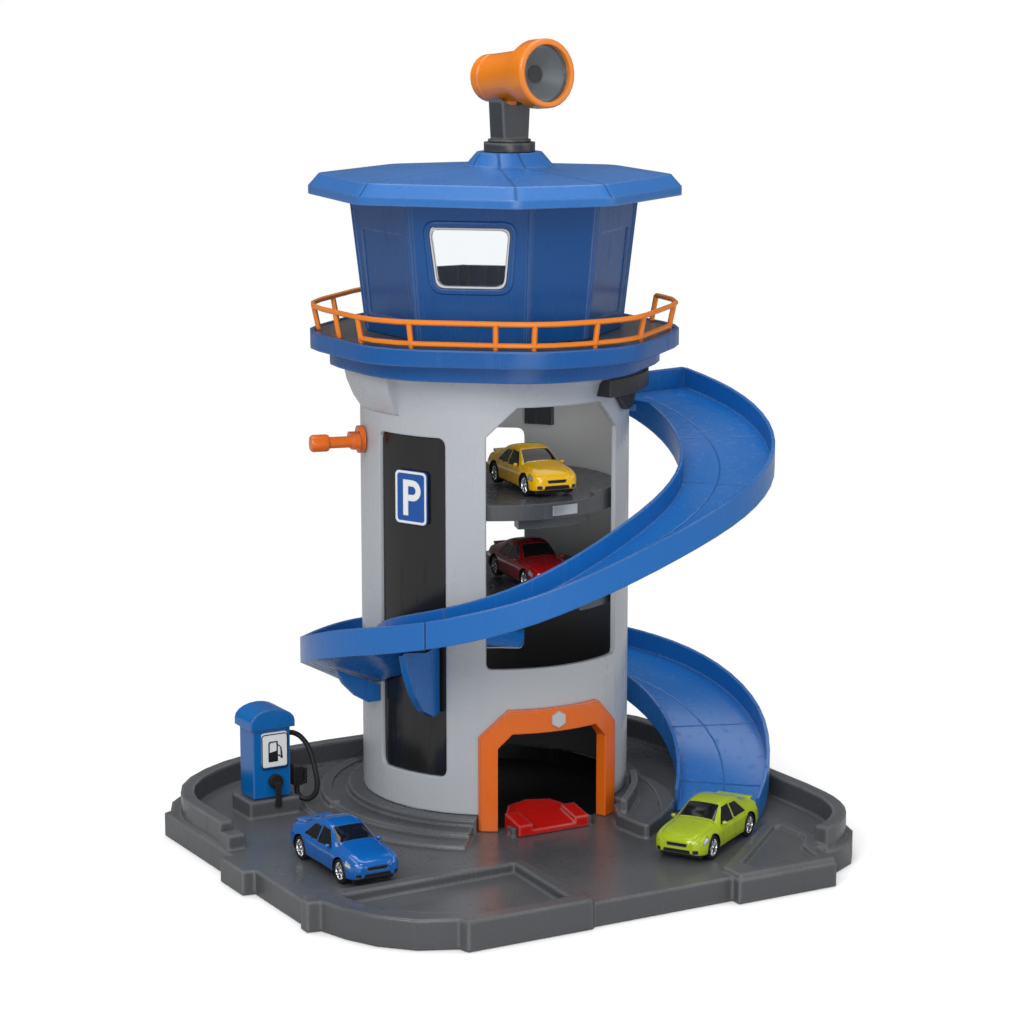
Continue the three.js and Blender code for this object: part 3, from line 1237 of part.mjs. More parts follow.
function makeHead() {
	const low = headTop - head.height;
	const plate = block(head.inner, tower.radius, -head.halfWidth, head.halfWidth, low, headTop);
	const inside = disc(towerBore - gap, low - gap, headTop + gap, tower.sides);
	const reach = rod.radius + gap;
	const groove = block(rod.plane - reach, rod.plane + reach, -rod.offset - reach, rod.offset + reach,
		low - gap, headTop - head.height / 4);
	return plate.intersect(inside).subtract(groove);
}

function makeDeckGuide() {
	const low = towerTop - guide.drop;
	return sector(towerBore - guide.thickness, towerBore - gap * 1.6, guide.startAngle, guide.endAngle, low,
		low + guide.height);
}

function makeRods() {
	const top = headTop - head.height / 4 - gap;
	const uprights = [-1, 1].map((side) => moved(disc(rod.radius, base.floor + gap, top, 12), rod.plane,
		side * rod.offset, 0));
	const [near, far] = [rod.plane - rod.radius, rod.plane + rod.radius];
	const bridge = block(near, far, -rod.offset, rod.offset, top - rod.radius, top);
	return joined([...uprights, bridge]);
}

function makeIdlerBracket() {
	const foot = base.floor + gap;
	const far = drive.beltPlane + drive.beltWidth + pulley.flangeWidth + gap * 3;
	const inside = disc(plinth.bore - gap, 0, crankHeight, tower.sides);
	const plate = block(far + idlerBase.cheek - idlerBase.length, far + idlerBase.cheek, -idlerBase.width / 2,
		idlerBase.width / 2, foot, foot + idlerBase.height);
	const cheek = block(far, far + idlerBase.cheek, -idlerBase.cheek * 2, idlerBase.cheek * 2, foot,
		idlerBase.top);
	const pin = bar([drive.beltPlane - pulley.flangeWidth, 0, drive.idlerHeight],
		[far + idlerBase.cheek / 2, 0, drive.idlerHeight], idlerBase.pin, 12);
	return joined([plate, cheek, pin]).intersect(inside);
}

function makeCarriage() {
	const low = lowerDeckTop - deck.thickness;
	const high = upperDeckTop;
	const near = carriage.plane;
	const far = near + carriage.thickness;
	const plate = block(near, far, -carriage.halfWidth, carriage.halfWidth, low, high);
	const lightening = block(near - gap, far + gap, -rod.offset / 1.4, rod.offset / 1.6,
		low + deck.thickness * 2, clampBottom - carriage.clampHeight);
	const sleeves = [-1, 1].flatMap((side) => [low, high - carriage.sleeveHeight].map((z) => {
		const y = side * rod.offset;
		const web = block(near, rod.plane, y - carriage.sleeve, y + carriage.sleeve, z, z + carriage.sleeveHeight);
		return web.add(moved(disc(carriage.sleeve, z, z + carriage.sleeveHeight, 16), rod.plane, y, 0));
	}));
	const bores = [-1, 1].map((side) => moved(disc(rod.radius + slideGap, 0, crankHeight, 12), rod.plane,
		side * rod.offset, 0));
	const clamp = block(far - gap, drive.beltPlane + drive.beltWidth, beltInner - gap - carriage.clampWall,
		beltInner + belt.thickness + gap + carriage.clampWall, clampBottom, clampBottom + carriage.clampHeight);
	const beltWay = block(drive.beltPlane, overrun * 4, beltInner - gap, beltInner + belt.thickness + gap, 0,
		crankHeight);
	const armHigh = upperDeckTop - deck.thickness - gap;
	const arm = block(near - deckArm.reach, near + gap, -deckArm.width / 2, deckArm.width / 2,
		armHigh - deckArm.height, armHigh);
	const armTip = block(near - deckArm.reach, near + gap - deckArm.reach * deckArm.innerShare, -deckArm.width,
		deckArm.width, armHigh - deckArm.height / 2, armHigh);
	return cut(joined([plate.subtract(lightening), ...sleeves, clamp, arm, armTip]), [...bores, beltWay]);
}

// A lift deck: round, cut off flat against the carriage, with a low rail round its right side
function makeDeck(top, notched) {
	const low = top - deck.thickness;
	const plate = disc(deck.radius, low, top, deck.sides);
	const railInner = deck.radius - deck.railWidth;
	const railing = sector(railInner, deck.radius, deckRail.startAngle, deckRail.endAngle, top - gap,
		top + deck.railHeight);
	const guideWay = sector(towerBore - guide.thickness - slideGap * 2, tower.radius, guide.startAngle - gap * 4,
		guide.endAngle + gap * 4, low - gap, top + gap);
	const side = around(1, drive.angle);
	const carriageCut = block(carriage.plane - gap, overrun * 5, -overrun * 4, overrun * 4, 0, tower.height)
		.rotate([0, 0, drive.angle - 90]);
	const well = disc(deck.radius - deck.railWidth * 2, low - gap, low + deck.thickness * 0.6, deck.sides)
		.subtract(block(-deck.railWidth, deck.railWidth, -deck.radius, deck.radius, 0, tower.height))
		.subtract(block(-deck.radius, deck.radius, -deck.railWidth, deck.railWidth, 0, tower.height))
		.subtract(carriageCut.translate([-side.x * deck.railWidth, -side.y * deck.railWidth, 0]));
	const tools = [carriageCut, guideWay, well];
	const parts = [plate, railing];
	if (!notched) {
		const { inner, outer, startAngle, endAngle, drop } = deckRib;
		parts.push(sector(inner, outer, startAngle, endAngle, low - drop, low + gap));
	}
	if (notched) {
		tools.push(block(deckNotch.left, deckNotch.left + deckNotch.width, -deck.radius - gap,
			-deck.radius + deckNotch.depth, low - gap, top + gap));
	}
	return cut(joined(parts), tools);
}

function makeLabel() {
	const inner = deck.radius + gap;
	const low = upperDeckTop - (deck.thickness + label.height) / 2;
	return sector(inner, inner + label.thickness, label.startAngle, label.endAngle, low, low + label.height);
}

function makePumpCap() {
	const halfWidth = pump.width / 2 + pumpCap.overhang;
	const points = [[-halfWidth, 0], [halfWidth, 0]];
	for (let i = 0; i <= pumpCap.steps; i += 1) {
		const turn = (Math.PI * i) / pumpCap.steps;
		points.push([halfWidth * Math.cos(turn), pumpCap.edge + pumpCap.crown * Math.sin(turn)]);
	}
	const depth = pump.depth + pumpCap.overhang * 2;
	const shape = new THREE.Shape(points.map(([x, z]) => new THREE.Vector2(x, z)));
	const geometry = new THREE.ExtrudeGeometry(shape, { depth, bevelEnabled: false });
	geometry.rotateX(Math.PI / 2);
	geometry.translate(0, depth / 2, 0);
	return solidOf(geometry);
}

function makePump(parent) {
	const stand = new THREE.Group();
	stand.position.set(pump.x, pump.y, base.floor + gap);
	parent.add(stand);
	const w = pump.width / 2;
	const d = pump.depth / 2;
	const bodyLow = pump.plinthHeight + gap;
	const bodyHigh = bodyLow + pump.height;
	piece(stand, 'pump_body', block(-w, w, -d, d, bodyLow, bodyHigh), finish.pumpBlue());
	piece(stand, 'pump_cap', makePumpCap(), finish.pumpBlue()).position.z = bodyHigh + gap;
	const signPlate = standingPlate(roundedRectangle(pumpSign.width, pumpSign.height, pumpSign.corner),
		pumpSign.thickness, d + gap, 0, bodyLow + pumpSign.rise);
	piece(stand, 'pump_sign', moved(signPlate, pumpSign.x, 0, 0), finish.white());
	const dialFace = disc(holster.radius, 0, holster.thickness, 20).rotate([90, 0, 0]);
	const strapTop = bodyLow + holster.rise;
	const strapFront = pump.plinthDepth / 2 + gap + holster.thickness / 2;
	const dial = moved(dialFace, holster.x, -d - gap, strapTop);
	const strapHalf = holster.strap / 2;
	const strap = block(holster.x - strapHalf, holster.x + strapHalf, -strapFront, -pump.plinthDepth / 2 - gap,
		strapTop - holster.strapDrop, strapTop);
	const strapLink = block(holster.x - strapHalf, holster.x + strapHalf, -strapFront, -d - gap,
		strapTop - holster.radius / 2, strapTop);
	piece(stand, 'pump_holster', joined([dial, strap, strapLink]), finish.rubber());
}

function makeHose() {
	const curve = new THREE.CatmullRomCurve3(hoseRoute.map((p) => new THREE.Vector3(...p)), false,
		'centripetal');
	const section = new THREE.Shape(Array.from({ length: hose.sides }, (_, i) => {
		const turn = (2 * Math.PI * i) / hose.sides;
		return new THREE.Vector2((hose.diameter / 2) * Math.cos(turn), (hose.diameter / 2) * Math.sin(turn));
	}));
	const steps = Math.ceil(curve.getLength() / hose.step) * 2;
	return solidOf(new THREE.ExtrudeGeometry(section, { steps, bevelEnabled: false, extrudePath: curve }));
}

function makeNozzle() {
	const half = nozzle.body / 2;
	const top = nozzle.bottom + nozzle.height;
	const body = block(nozzle.x - half, nozzle.x + half, nozzle.y - half, nozzle.y + half, nozzle.bottom, top);
	const spout = bar([nozzle.x, nozzle.y, top - half], [nozzle.x - nozzle.spoutLength + nozzle.spout, nozzle.y,
		top + half], nozzle.spout, 10);
	const leverX = nozzle.x + half + nozzle.lever;
	const lever = joined([
		block(nozzle.x, leverX + nozzle.lever, nozzle.y - nozzle.lever, nozzle.y + nozzle.lever,
			top - nozzle.lever * 2, top - nozzle.lever),
		block(leverX, leverX + nozzle.lever, nozzle.y - nozzle.lever, nozzle.y + nozzle.lever, nozzle.bottom,
			top - nozzle.lever),
		block(nozzle.x, leverX + nozzle.lever, nozzle.y - nozzle.lever, nozzle.y + nozzle.lever, nozzle.bottom,
			nozzle.bottom + nozzle.lever),
	]);
	const wallSide = block(-overrun * 10, pump.x + pump.width / 2 + gap, 0, overrun * 2, 0, tower.height);
	return joined([body, spout, lever]).subtract(wallSide);
}

// A car body's ring of points at one station of its length
function carRing([along, wide, belt, roofWide, top, floor]) {
	const half = car.width / 2;
	const x = along * car.length;
	const w = half * wide;
	const low = floor * car.height;
	const roofZ = top * car.height;
	const beltZ = Math.min(belt * car.height, roofZ * 0.9);
	const shoulderZ = Math.min(shoulderShare * car.height, (beltZ + roofZ) / 2);
	const side = [
		[w * 0.86, low], [w, low + car.height * 0.08], [w, beltZ], [w * 0.93, shoulderZ],
		[half * roofWide, roofZ * 0.985],
	];
	const right = side.map(([y, z]) => new THREE.Vector3(x, -y, z));
	const left = side.map(([y, z]) => new THREE.Vector3(x, y, z)).reverse();
	return [...right, new THREE.Vector3(x, 0, roofZ), ...left];
}

function makeCarBody() {
	const rings = carShellShares.map(carRing);
	const shell = loft(rings, (i) => rings[i].map((p) => new THREE.Vector2(p.y, p.z)));
	const wells = [-1, 1].flatMap((end) => [-1, 1].map((side) => {
		const x = (end * car.wheelbase) / 2;
		const outer = side * car.width;
		const inner = side * (car.width / 2 - car.wheelWidth - axle.wheelInset - axle.clearance * 2);
		return bar([x, inner, car.wheelRadius], [x, outer, car.wheelRadius], car.arch, 16);
	}));
	const axleWays = [-1, 1].map((end) => {
		const x = (end * car.wheelbase) / 2;
		const reach = axle.radius + axle.clearance;
		return block(x - reach, x + reach, -car.width / 2, car.width / 2, 0, car.wheelRadius + reach);
	});
	const spoilerX = spoiler.atShare * car.length;
	const [deep, wide] = [spoiler.depth / 2, spoiler.width / 2];
	const lip = block(spoilerX - deep, spoilerX + deep, -wide, wide, spoiler.low, spoiler.high);
	return cut(joined([shell, lip]), [...wells, ...axleWays]);
}

function makeCarChassis() {
	const top = car.height * carShellShares[3][5] - gap;
	const length = car.length * chassis.lengthShare;
	const width = (car.width * chassis.widthShare) / 2;
	const plate = block(-length / 2, length / 2, -width, width, top - chassis.thickness, top);
	const wells = [-1, 1].map((end) => {
		const x = (end * car.wheelbase) / 2;
		return block(x - car.arch, x + car.arch, -car.width, car.width, 0, top + gap);
	});
	const spine = block(-length / 2, length / 2, -width / 3, width / 3, top - chassis.thickness, top);
	const axleRoom = [-1, 1].map((end) => {
		const x = (end * car.wheelbase) / 2;
		const z = car.wheelRadius;
		return bar([x, -car.width, z], [x, car.width, z], z - top + gap * 2, 12);
	});
	return cut(joined([cut(plate, wells), spine]), axleRoom);
}

function makeWheels() {
	const outer = car.width / 2 - axle.wheelInset;
	const inner = outer - car.wheelWidth;
	const r = car.wheelRadius;
	const rimR = r * 0.72;
	const half = [
		[0, outer - r * 0.1], [rimR, outer - r * 0.2], [rimR, outer], [r * 0.95, outer], [r, outer - r * 0.1],
		[r, inner], [axle.radius, inner],
	];
	const mirrored = half.map(([radius, z]) => [radius, -z]).reverse();
	return turned([...half, ...mirrored], axle.sides).rotate([90, 0, 0]);
}

const cars = [
	{ name: 'blue_car', color: 0x1560b5, ...parkedCar, z: base.floor + gap },
	{ name: 'lime_car', color: 0xa5c814, ...rampCar, z: base.floor + gap },
	{ name: 'yellow_car', color: 0xe8b80c, ...deckCar, z: upperDeckTop + gap },
	{ name: 'red_car', color: 0xa01218, ...deckCar, z: lowerDeckTop + gap },
];

function makeCar(parent, { name, color, x, y, z, headingAngle, size = 1 }) {
	const whole = new THREE.Group();
	whole.position.set(x, y, z);
	whole.rotation.z = rad(headingAngle);
	whole.scale.setScalar(size);
	parent.add(whole);
	piece(whole, `${name}_body`, makeCarBody(), paint(color, 0.25, 0.3));
	piece(whole, `${name}_chassis`, makeCarChassis(), finish.black());
	const wheels = makeWheels();
	for (const [end, label] of [[1, 'front'], [-1, 'rear']]) {
		const pair = piece(whole, `${name}_${label}_wheels`, wheels, finish.rubber());
		pair.position.set((end * car.wheelbase) / 2, 0, car.wheelRadius);
	}
}

piece(assembly, 'base_plate', makeBase(), finish.base());
piece(assembly, 'tower_shell', makeTower(), finish.tower());
piece(assembly, 'entrance_arch', makeArch(), finish.orange());
piece(assembly, 'boarding_flap', makeFlap(), finish.red());
piece(assembly, 'side_panel', makeSidePanel(), finish.black());
piece(assembly, 'parking_sign', makeSign(), finish.blue());
piece(assembly, 'gallery_deck', makeGallery(), finish.blue());
piece(assembly, 'gallery_floor', makeGalleryFloor(), finish.base());
piece(assembly, 'gallery_railing', makeRailing(), finish.orange());
piece(assembly, 'cabin_shell', makeCabin(), finish.cabinBlue());
piece(assembly, 'cabin_pane', makeCabinPane(), finish.clear());
piece(assembly, 'window_trim', makeWindowTrim(), finish.silver());
piece(assembly, 'roof', makeRoof(), finish.blue());
piece(assembly, 'scope_collar', moved(disc(mast.collarRadius, bossTop + gap, collarTop, 32),
	mast.x, mast.y, 0),
	finish.dark());
makeScope(assembly);
piece(assembly, 'ramp_top', makeRampTop(), finish.rampBlue());
piece(assembly, 'ramp_middle', trough(rampSeams[0] - ramp.sectionGap / 2, rampSeams[1] + ramp.sectionGap / 2),
	finish.rampBlue());
piece(assembly, 'ramp_bottom', trough(rampSeams[1] - ramp.sectionGap / 2, rampEndTurn), finish.rampBlue());
piece(assembly, 'ramp_bracket_left', makeRampBracket(rampBracketAngles.left), finish.rampBlue());
piece(assembly, 'ramp_bracket_right', makeRampBracket(rampBracketAngles.right), finish.rampBlue());
piece(assembly, 'exit_arm', makeExitArm(), finish.black());
makeDrive(assembly);
piece(assembly, 'upper_deck', makeDeck(upperDeckTop, false), finish.dark());
piece(assembly, 'lower_deck', makeDeck(lowerDeckTop, true), finish.dark());
piece(assembly, 'deck_guide', makeDeckGuide(), finish.dark());
piece(assembly, 'deck_label', makeLabel(), finish.silver());
makePump(assembly);
piece(assembly, 'pump_hose', makeHose(), finish.rubber());
piece(assembly, 'pump_nozzle', makeNozzle(), finish.rubber());
for (const each of cars) makeCar(assembly, each);

export default assembly;
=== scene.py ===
import json
from math import cos, hypot, pi, radians, sin

import bmesh
import bpy
from mathutils import Matrix, Vector


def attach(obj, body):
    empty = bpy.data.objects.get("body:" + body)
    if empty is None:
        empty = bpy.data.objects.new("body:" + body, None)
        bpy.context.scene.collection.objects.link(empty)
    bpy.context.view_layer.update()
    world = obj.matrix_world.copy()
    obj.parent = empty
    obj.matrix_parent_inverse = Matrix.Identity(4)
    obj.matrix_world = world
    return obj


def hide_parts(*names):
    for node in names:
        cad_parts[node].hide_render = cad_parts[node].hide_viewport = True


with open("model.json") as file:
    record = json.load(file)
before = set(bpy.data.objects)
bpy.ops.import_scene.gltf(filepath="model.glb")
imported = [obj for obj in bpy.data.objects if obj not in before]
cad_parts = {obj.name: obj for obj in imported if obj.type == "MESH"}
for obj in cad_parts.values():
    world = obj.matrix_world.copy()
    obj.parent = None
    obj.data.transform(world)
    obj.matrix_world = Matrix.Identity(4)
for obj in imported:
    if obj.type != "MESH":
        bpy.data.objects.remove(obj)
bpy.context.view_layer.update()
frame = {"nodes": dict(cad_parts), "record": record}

print("frame loaded")

# toy parking garage with a lift; metres, +Z up, the entrance faces -Y, the tower's axis is x = y = 0

bodyOf = {node: body for body, nodes in frame["record"]["behaviour"]["bodies"].items() for node in nodes}


def linear(colour):
    # a web colour as the linear values that a shader takes
    values = [int(colour[i:i + 2], 16) / 255 for i in (1, 3, 5)]
    return (*[v / 12.92 if v <= 0.04045 else ((v + 0.055) / 1.055) ** 2.4 for v in values], 1)


mm = 0.001


# camera, first, because the hose is checked against it

camera = {
    "place": (-0.7296, -1.2988, 0.4481), "azimuth": -29.672, "pitch": 10.799, "lens": 101.7, "sensor": 36,
    "clip": (0.05, 20),
}


def makeCamera():
    data = bpy.data.cameras.new("photo_camera")
    data.lens = camera["lens"]
    data.sensor_width = camera["sensor"]
    data.clip_start, data.clip_end = camera["clip"]
    viewer = bpy.data.objects.new("photo_camera", data)
    bpy.context.scene.collection.objects.link(viewer)
    a, p = radians(camera["azimuth"]), radians(camera["pitch"])
    ahead = Vector((-sin(a) * cos(p), cos(a) * cos(p), -sin(p)))
    viewer.location = camera["place"]
    viewer.rotation_mode = "QUATERNION"
    viewer.rotation_quaternion = ahead.to_track_quat("-Z", "Y")
    bpy.context.scene.camera = viewer


makeCamera()


# shader groups, each built once and placed in the materials that use it

def addNode(tree, kind, x, y, **values):
    node = tree.nodes.new(kind)
    node.location = (x, y)
    for name, value in values.items():
        setattr(node, name, value)
    return node


def plug(tree, source, target):
    # the source is another node's socket or a plain value
    if isinstance(source, bpy.types.NodeSocket):
        tree.links.new(source, target)
    else:
        target.default_value = source


def setSockets(node, values):
    for label, value in values.items():
        node.inputs[label].default_value = value


def calculate(tree, operation, x, y, *values, clamp=False):
    node = addNode(tree, "ShaderNodeMath", x, y, operation=operation, use_clamp=clamp)
    for socket, value in zip(node.inputs, values):
        plug(tree, value, socket)
    return node.outputs[0]


def calculateVector(tree, operation, x, y, *values):
    node = addNode(tree, "ShaderNodeVectorMath", x, y, operation=operation)
    for socket, value in zip(node.inputs, values):
        plug(tree, value, socket)
    return node.outputs["Value" if operation in ("LENGTH", "DOT_PRODUCT") else "Vector"]


def addNoise(tree, x, y, scale, detail, place):
    node = addNode(tree, "ShaderNodeTexNoise", x, y)
    setSockets(node, {"Scale": scale, "Detail": detail})
    plug(tree, place, node.inputs["Vector"])
    return node.outputs["Fac"]


def mixColours(tree, x, y, share, first, second, blend="MIX"):
    node = addNode(tree, "ShaderNodeMix", x, y, data_type="RGBA", blend_type=blend)
    for i, value in ((0, share), (6, first), (7, second)):
        plug(tree, value, node.inputs[i])
    return node.outputs[2]


def newGroup(name, inputs, outputs):
    tree = bpy.data.node_groups.new(name, "ShaderNodeTree")
    for label, kind, value in inputs:
        socket = tree.interface.new_socket(name=label, in_out="INPUT", socket_type=kind)
        socket.default_value = value
    for label, kind in outputs:
        tree.interface.new_socket(name=label, in_out="OUTPUT", socket_type=kind)
    enter = addNode(tree, "NodeGroupInput", -1400, 0)
    leave = addNode(tree, "NodeGroupOutput", 900, 0)
    return tree, enter, leave


# marks on moulded plastic and the painted highlight on its edges: noise as scale and detail, and
# thresholds, gains and tones of what it drives
plasticMarksAndHighlight = {
    "flow": (22, 4), "flowRough": 0.12, "grain": (1500, 2), "grainDepth": 0.00004,
    "scuff": (1, 3), "scuffStretch": (260, 260, 26), "scuffTurn": (0.5, 0.3, 0.2), "scuffFrom": 0.58,
    "scuffGain": 1.2, "edgeGain": 6, "edgeBreaks": (1.4, -0.1), "edgeWearAndHighlightTone": (0.86, 0.87, 0.88, 1),
    "dustFrom": 0.55, "dustGain": 2.2, "dustBreaks": (3, -0.9), "dustRough": 0.4,
    "dustTone": (0.42, 0.43, 0.45, 1),
}


def makePlasticGroup():
    # moulded plastic: soft edges, a fine grain, faint flow marks, edges lightened by abrasion and by a
    # painted highlight, and dust on what faces up
    tree, enter, leave = newGroup(
        "mouldedPlastic",
        [
            ("Colour", "NodeSocketColor", (0.5, 0.5, 0.5, 1)),
            ("Gloss", "NodeSocketFloat", 0.4),
            ("Mottle", "NodeSocketFloat", 0.05),
            ("Grain", "NodeSocketFloat", 0.1),
            ("Rounding", "NodeSocketFloat", 0.0008),
            ("EdgeWearAndHighlight", "NodeSocketFloat", 0.3),
            ("Dust", "NodeSocketFloat", 0.1),
        ],
        [("Colour", "NodeSocketColor"), ("Roughness", "NodeSocketFloat"), ("Normal", "NodeSocketVector")],
    )
    place = addNode(tree, "ShaderNodeTexCoord", -1400, -500).outputs["Object"]
    flow = addNoise(tree, -1150, -200, *plasticMarksAndHighlight["flow"], place)
    grain = addNoise(tree, -1150, -450, *plasticMarksAndHighlight["grain"], place)
    stretch = addNode(tree, "ShaderNodeMapping", -1150, -720)
    setSockets(stretch, {"Scale": plasticMarksAndHighlight["scuffStretch"], "Rotation": plasticMarksAndHighlight["scuffTurn"]})
    plug(tree, place, stretch.inputs["Vector"])
    scuff = addNoise(tree, -950, -720, *plasticMarksAndHighlight["scuff"], stretch.outputs[0])
    lean = calculate(tree, "SUBTRACT", -900, -150, flow, 0.5)
    spread = calculate(tree, "MULTIPLY", -700, -20, enter.outputs["Mottle"], 2)
    shade = calculate(tree, "MULTIPLY_ADD", -700, -150, lean, spread, 1)
    tone = addNode(tree, "ShaderNodeHueSaturation", -450, 100)
    plug(tree, enter.outputs["Colour"], tone.inputs["Color"])
    plug(tree, shade, tone.inputs["Value"])
    soft = addNode(tree, "ShaderNodeBevel", -950, 420, samples=4)
    plug(tree, enter.outputs["Rounding"], soft.inputs["Radius"])
    normal = addNode(tree, "ShaderNodeNewGeometry", -950, 620).outputs["Normal"]
    agreement = calculateVector(tree, "DOT_PRODUCT", -700, 520, soft.outputs[0], normal)
    bent = calculate(tree, "SUBTRACT", -520, 520, 1, agreement)
    onEdge = calculate(tree, "MULTIPLY", -350, 520, bent, plasticMarksAndHighlight["edgeGain"], clamp=True)
    broken = calculate(tree, "MULTIPLY_ADD", -350, 360, flow, *plasticMarksAndHighlight["edgeBreaks"], clamp=True)
    brokenEdge = calculate(tree, "MULTIPLY", -350, 660, onEdge, broken)
    # painted highlight: the edges are screened towards a light tone, for abrasion and for the light they
    # catch
    edgeWearAndHighlight = calculate(tree, "MULTIPLY", -170, 520, brokenEdge, enter.outputs["EdgeWearAndHighlight"], clamp=True)
    wornAndHighlit = mixColours(tree, 0, 200, edgeWearAndHighlight, tone.outputs[0], plasticMarksAndHighlight["edgeWearAndHighlightTone"], "SCREEN")
    split = addNode(tree, "ShaderNodeSeparateXYZ", -950, 800)
    plug(tree, normal, split.inputs[0])
    upward = calculate(tree, "SUBTRACT", -700, 820, split.outputs["Z"], plasticMarksAndHighlight["dustFrom"])
    settled = calculate(tree, "MULTIPLY", -500, 820, upward, plasticMarksAndHighlight["dustGain"], clamp=True)
    patchy = calculate(tree, "MULTIPLY_ADD", -500, 960, flow, *plasticMarksAndHighlight["dustBreaks"], clamp=True)
    lying = calculate(tree, "MULTIPLY", -300, 760, settled, patchy)
    dusty = calculate(tree, "MULTIPLY", -300, 880, lying, enter.outputs["Dust"], clamp=True)
    final = mixColours(tree, 250, 200, dusty, wornAndHighlit, plasticMarksAndHighlight["dustTone"])
    scratched = calculate(tree, "SUBTRACT", -700, -720, scuff, plasticMarksAndHighlight["scuffFrom"])
    lines = calculate(tree, "MULTIPLY", -500, -720, scratched, plasticMarksAndHighlight["scuffGain"], clamp=True)
    rougher = calculate(tree, "MULTIPLY_ADD", -250, -600, dusty, plasticMarksAndHighlight["dustRough"], enter.outputs["Gloss"])
    marked = calculate(tree, "ADD", 0, -600, rougher, lines)
    varied = calculate(tree, "MULTIPLY_ADD", 200, -600, lean, plasticMarksAndHighlight["flowRough"], marked, clamp=True)
    bump = addNode(tree, "ShaderNodeBump", 200, -250)
    plug(tree, plasticMarksAndHighlight["grainDepth"], bump.inputs["Distance"])
    plug(tree, enter.outputs["Grain"], bump.inputs["Strength"])
    plug(tree, grain, bump.inputs["Height"])
    plug(tree, soft.outputs[0], bump.inputs["Normal"])
    plug(tree, final, leave.inputs["Colour"])
    plug(tree, varied, leave.inputs["Roughness"])
    plug(tree, bump.outputs[0], leave.inputs["Normal"])
    return tree


seamWidth = 0.0006
seamSlope = 0.6


def makeSeamGroup(name, curved):
    # a fine moulded line on faces that look up: straight out from the axis at a bearing, or round a centre
    wanted = ("Radius", "NodeSocketFloat", 0.1) if curved else ("Bearing", "NodeSocketFloat", 0.0)
    tree, enter, leave = newGroup(
        name,
        [wanted, ("Centre", "NodeSocketVector", (0, 0, 0)), ("Width", "NodeSocketFloat", seamWidth)],
        [("Line", "NodeSocketFloat")],
    )
    place = addNode(tree, "ShaderNodeTexCoord", -1400, -300).outputs["Object"]
    away = calculateVector(tree, "SUBTRACT", -1100, -200, place, enter.outputs["Centre"])
    flat = calculateVector(tree, "MULTIPLY", -900, -200, away, (1, 1, 0))
    if curved:
        reach = calculateVector(tree, "LENGTH", -700, -200, flat)
        off = calculate(tree, "SUBTRACT", -500, -100, reach, enter.outputs["Radius"])
        ahead = 1
    else:
        turn = addNode(tree, "ShaderNodeVectorRotate", -700, -200, rotation_type="Z_AXIS")
        plug(tree, flat, turn.inputs["Vector"])
        angle = calculate(tree, "MULTIPLY", -900, 100, enter.outputs["Bearing"], -pi / 180)
        plug(tree, angle, turn.inputs["Angle"])
        split = addNode(tree, "ShaderNodeSeparateXYZ", -500, -200)
        plug(tree, turn.outputs[0], split.inputs[0])
        off = split.outputs["X"]
        ahead = calculate(tree, "LESS_THAN", -300, -300, split.outputs["Y"], 0)
    apart = calculate(tree, "ABSOLUTE", -300, -100, off)
    near = calculate(tree, "DIVIDE", -150, -100, apart, enter.outputs["Width"])
    inLine = calculate(tree, "SUBTRACT", 0, -100, 1, near, clamp=True)
    upward = addNode(tree, "ShaderNodeSeparateXYZ", -100, -500)
    plug(tree, addNode(tree, "ShaderNodeNewGeometry", -300, -500).outputs["Normal"], upward.inputs[0])
    flatEnough = calculate(tree, "GREATER_THAN", 100, -500, upward.outputs["Z"], seamSlope)
    lineAhead = calculate(tree, "MULTIPLY", 150, -100, inLine, ahead)
    plug(tree, calculate(tree, "MULTIPLY", 300, -100, lineAhead, flatEnough), leave.inputs["Line"])
    return tree


plasticGroup = makePlasticGroup()
seamGroups = {"straight": makeSeamGroup("straightSeam", False), "curved": makeSeamGroup("curvedSeam", True)}
print("shader groups built")
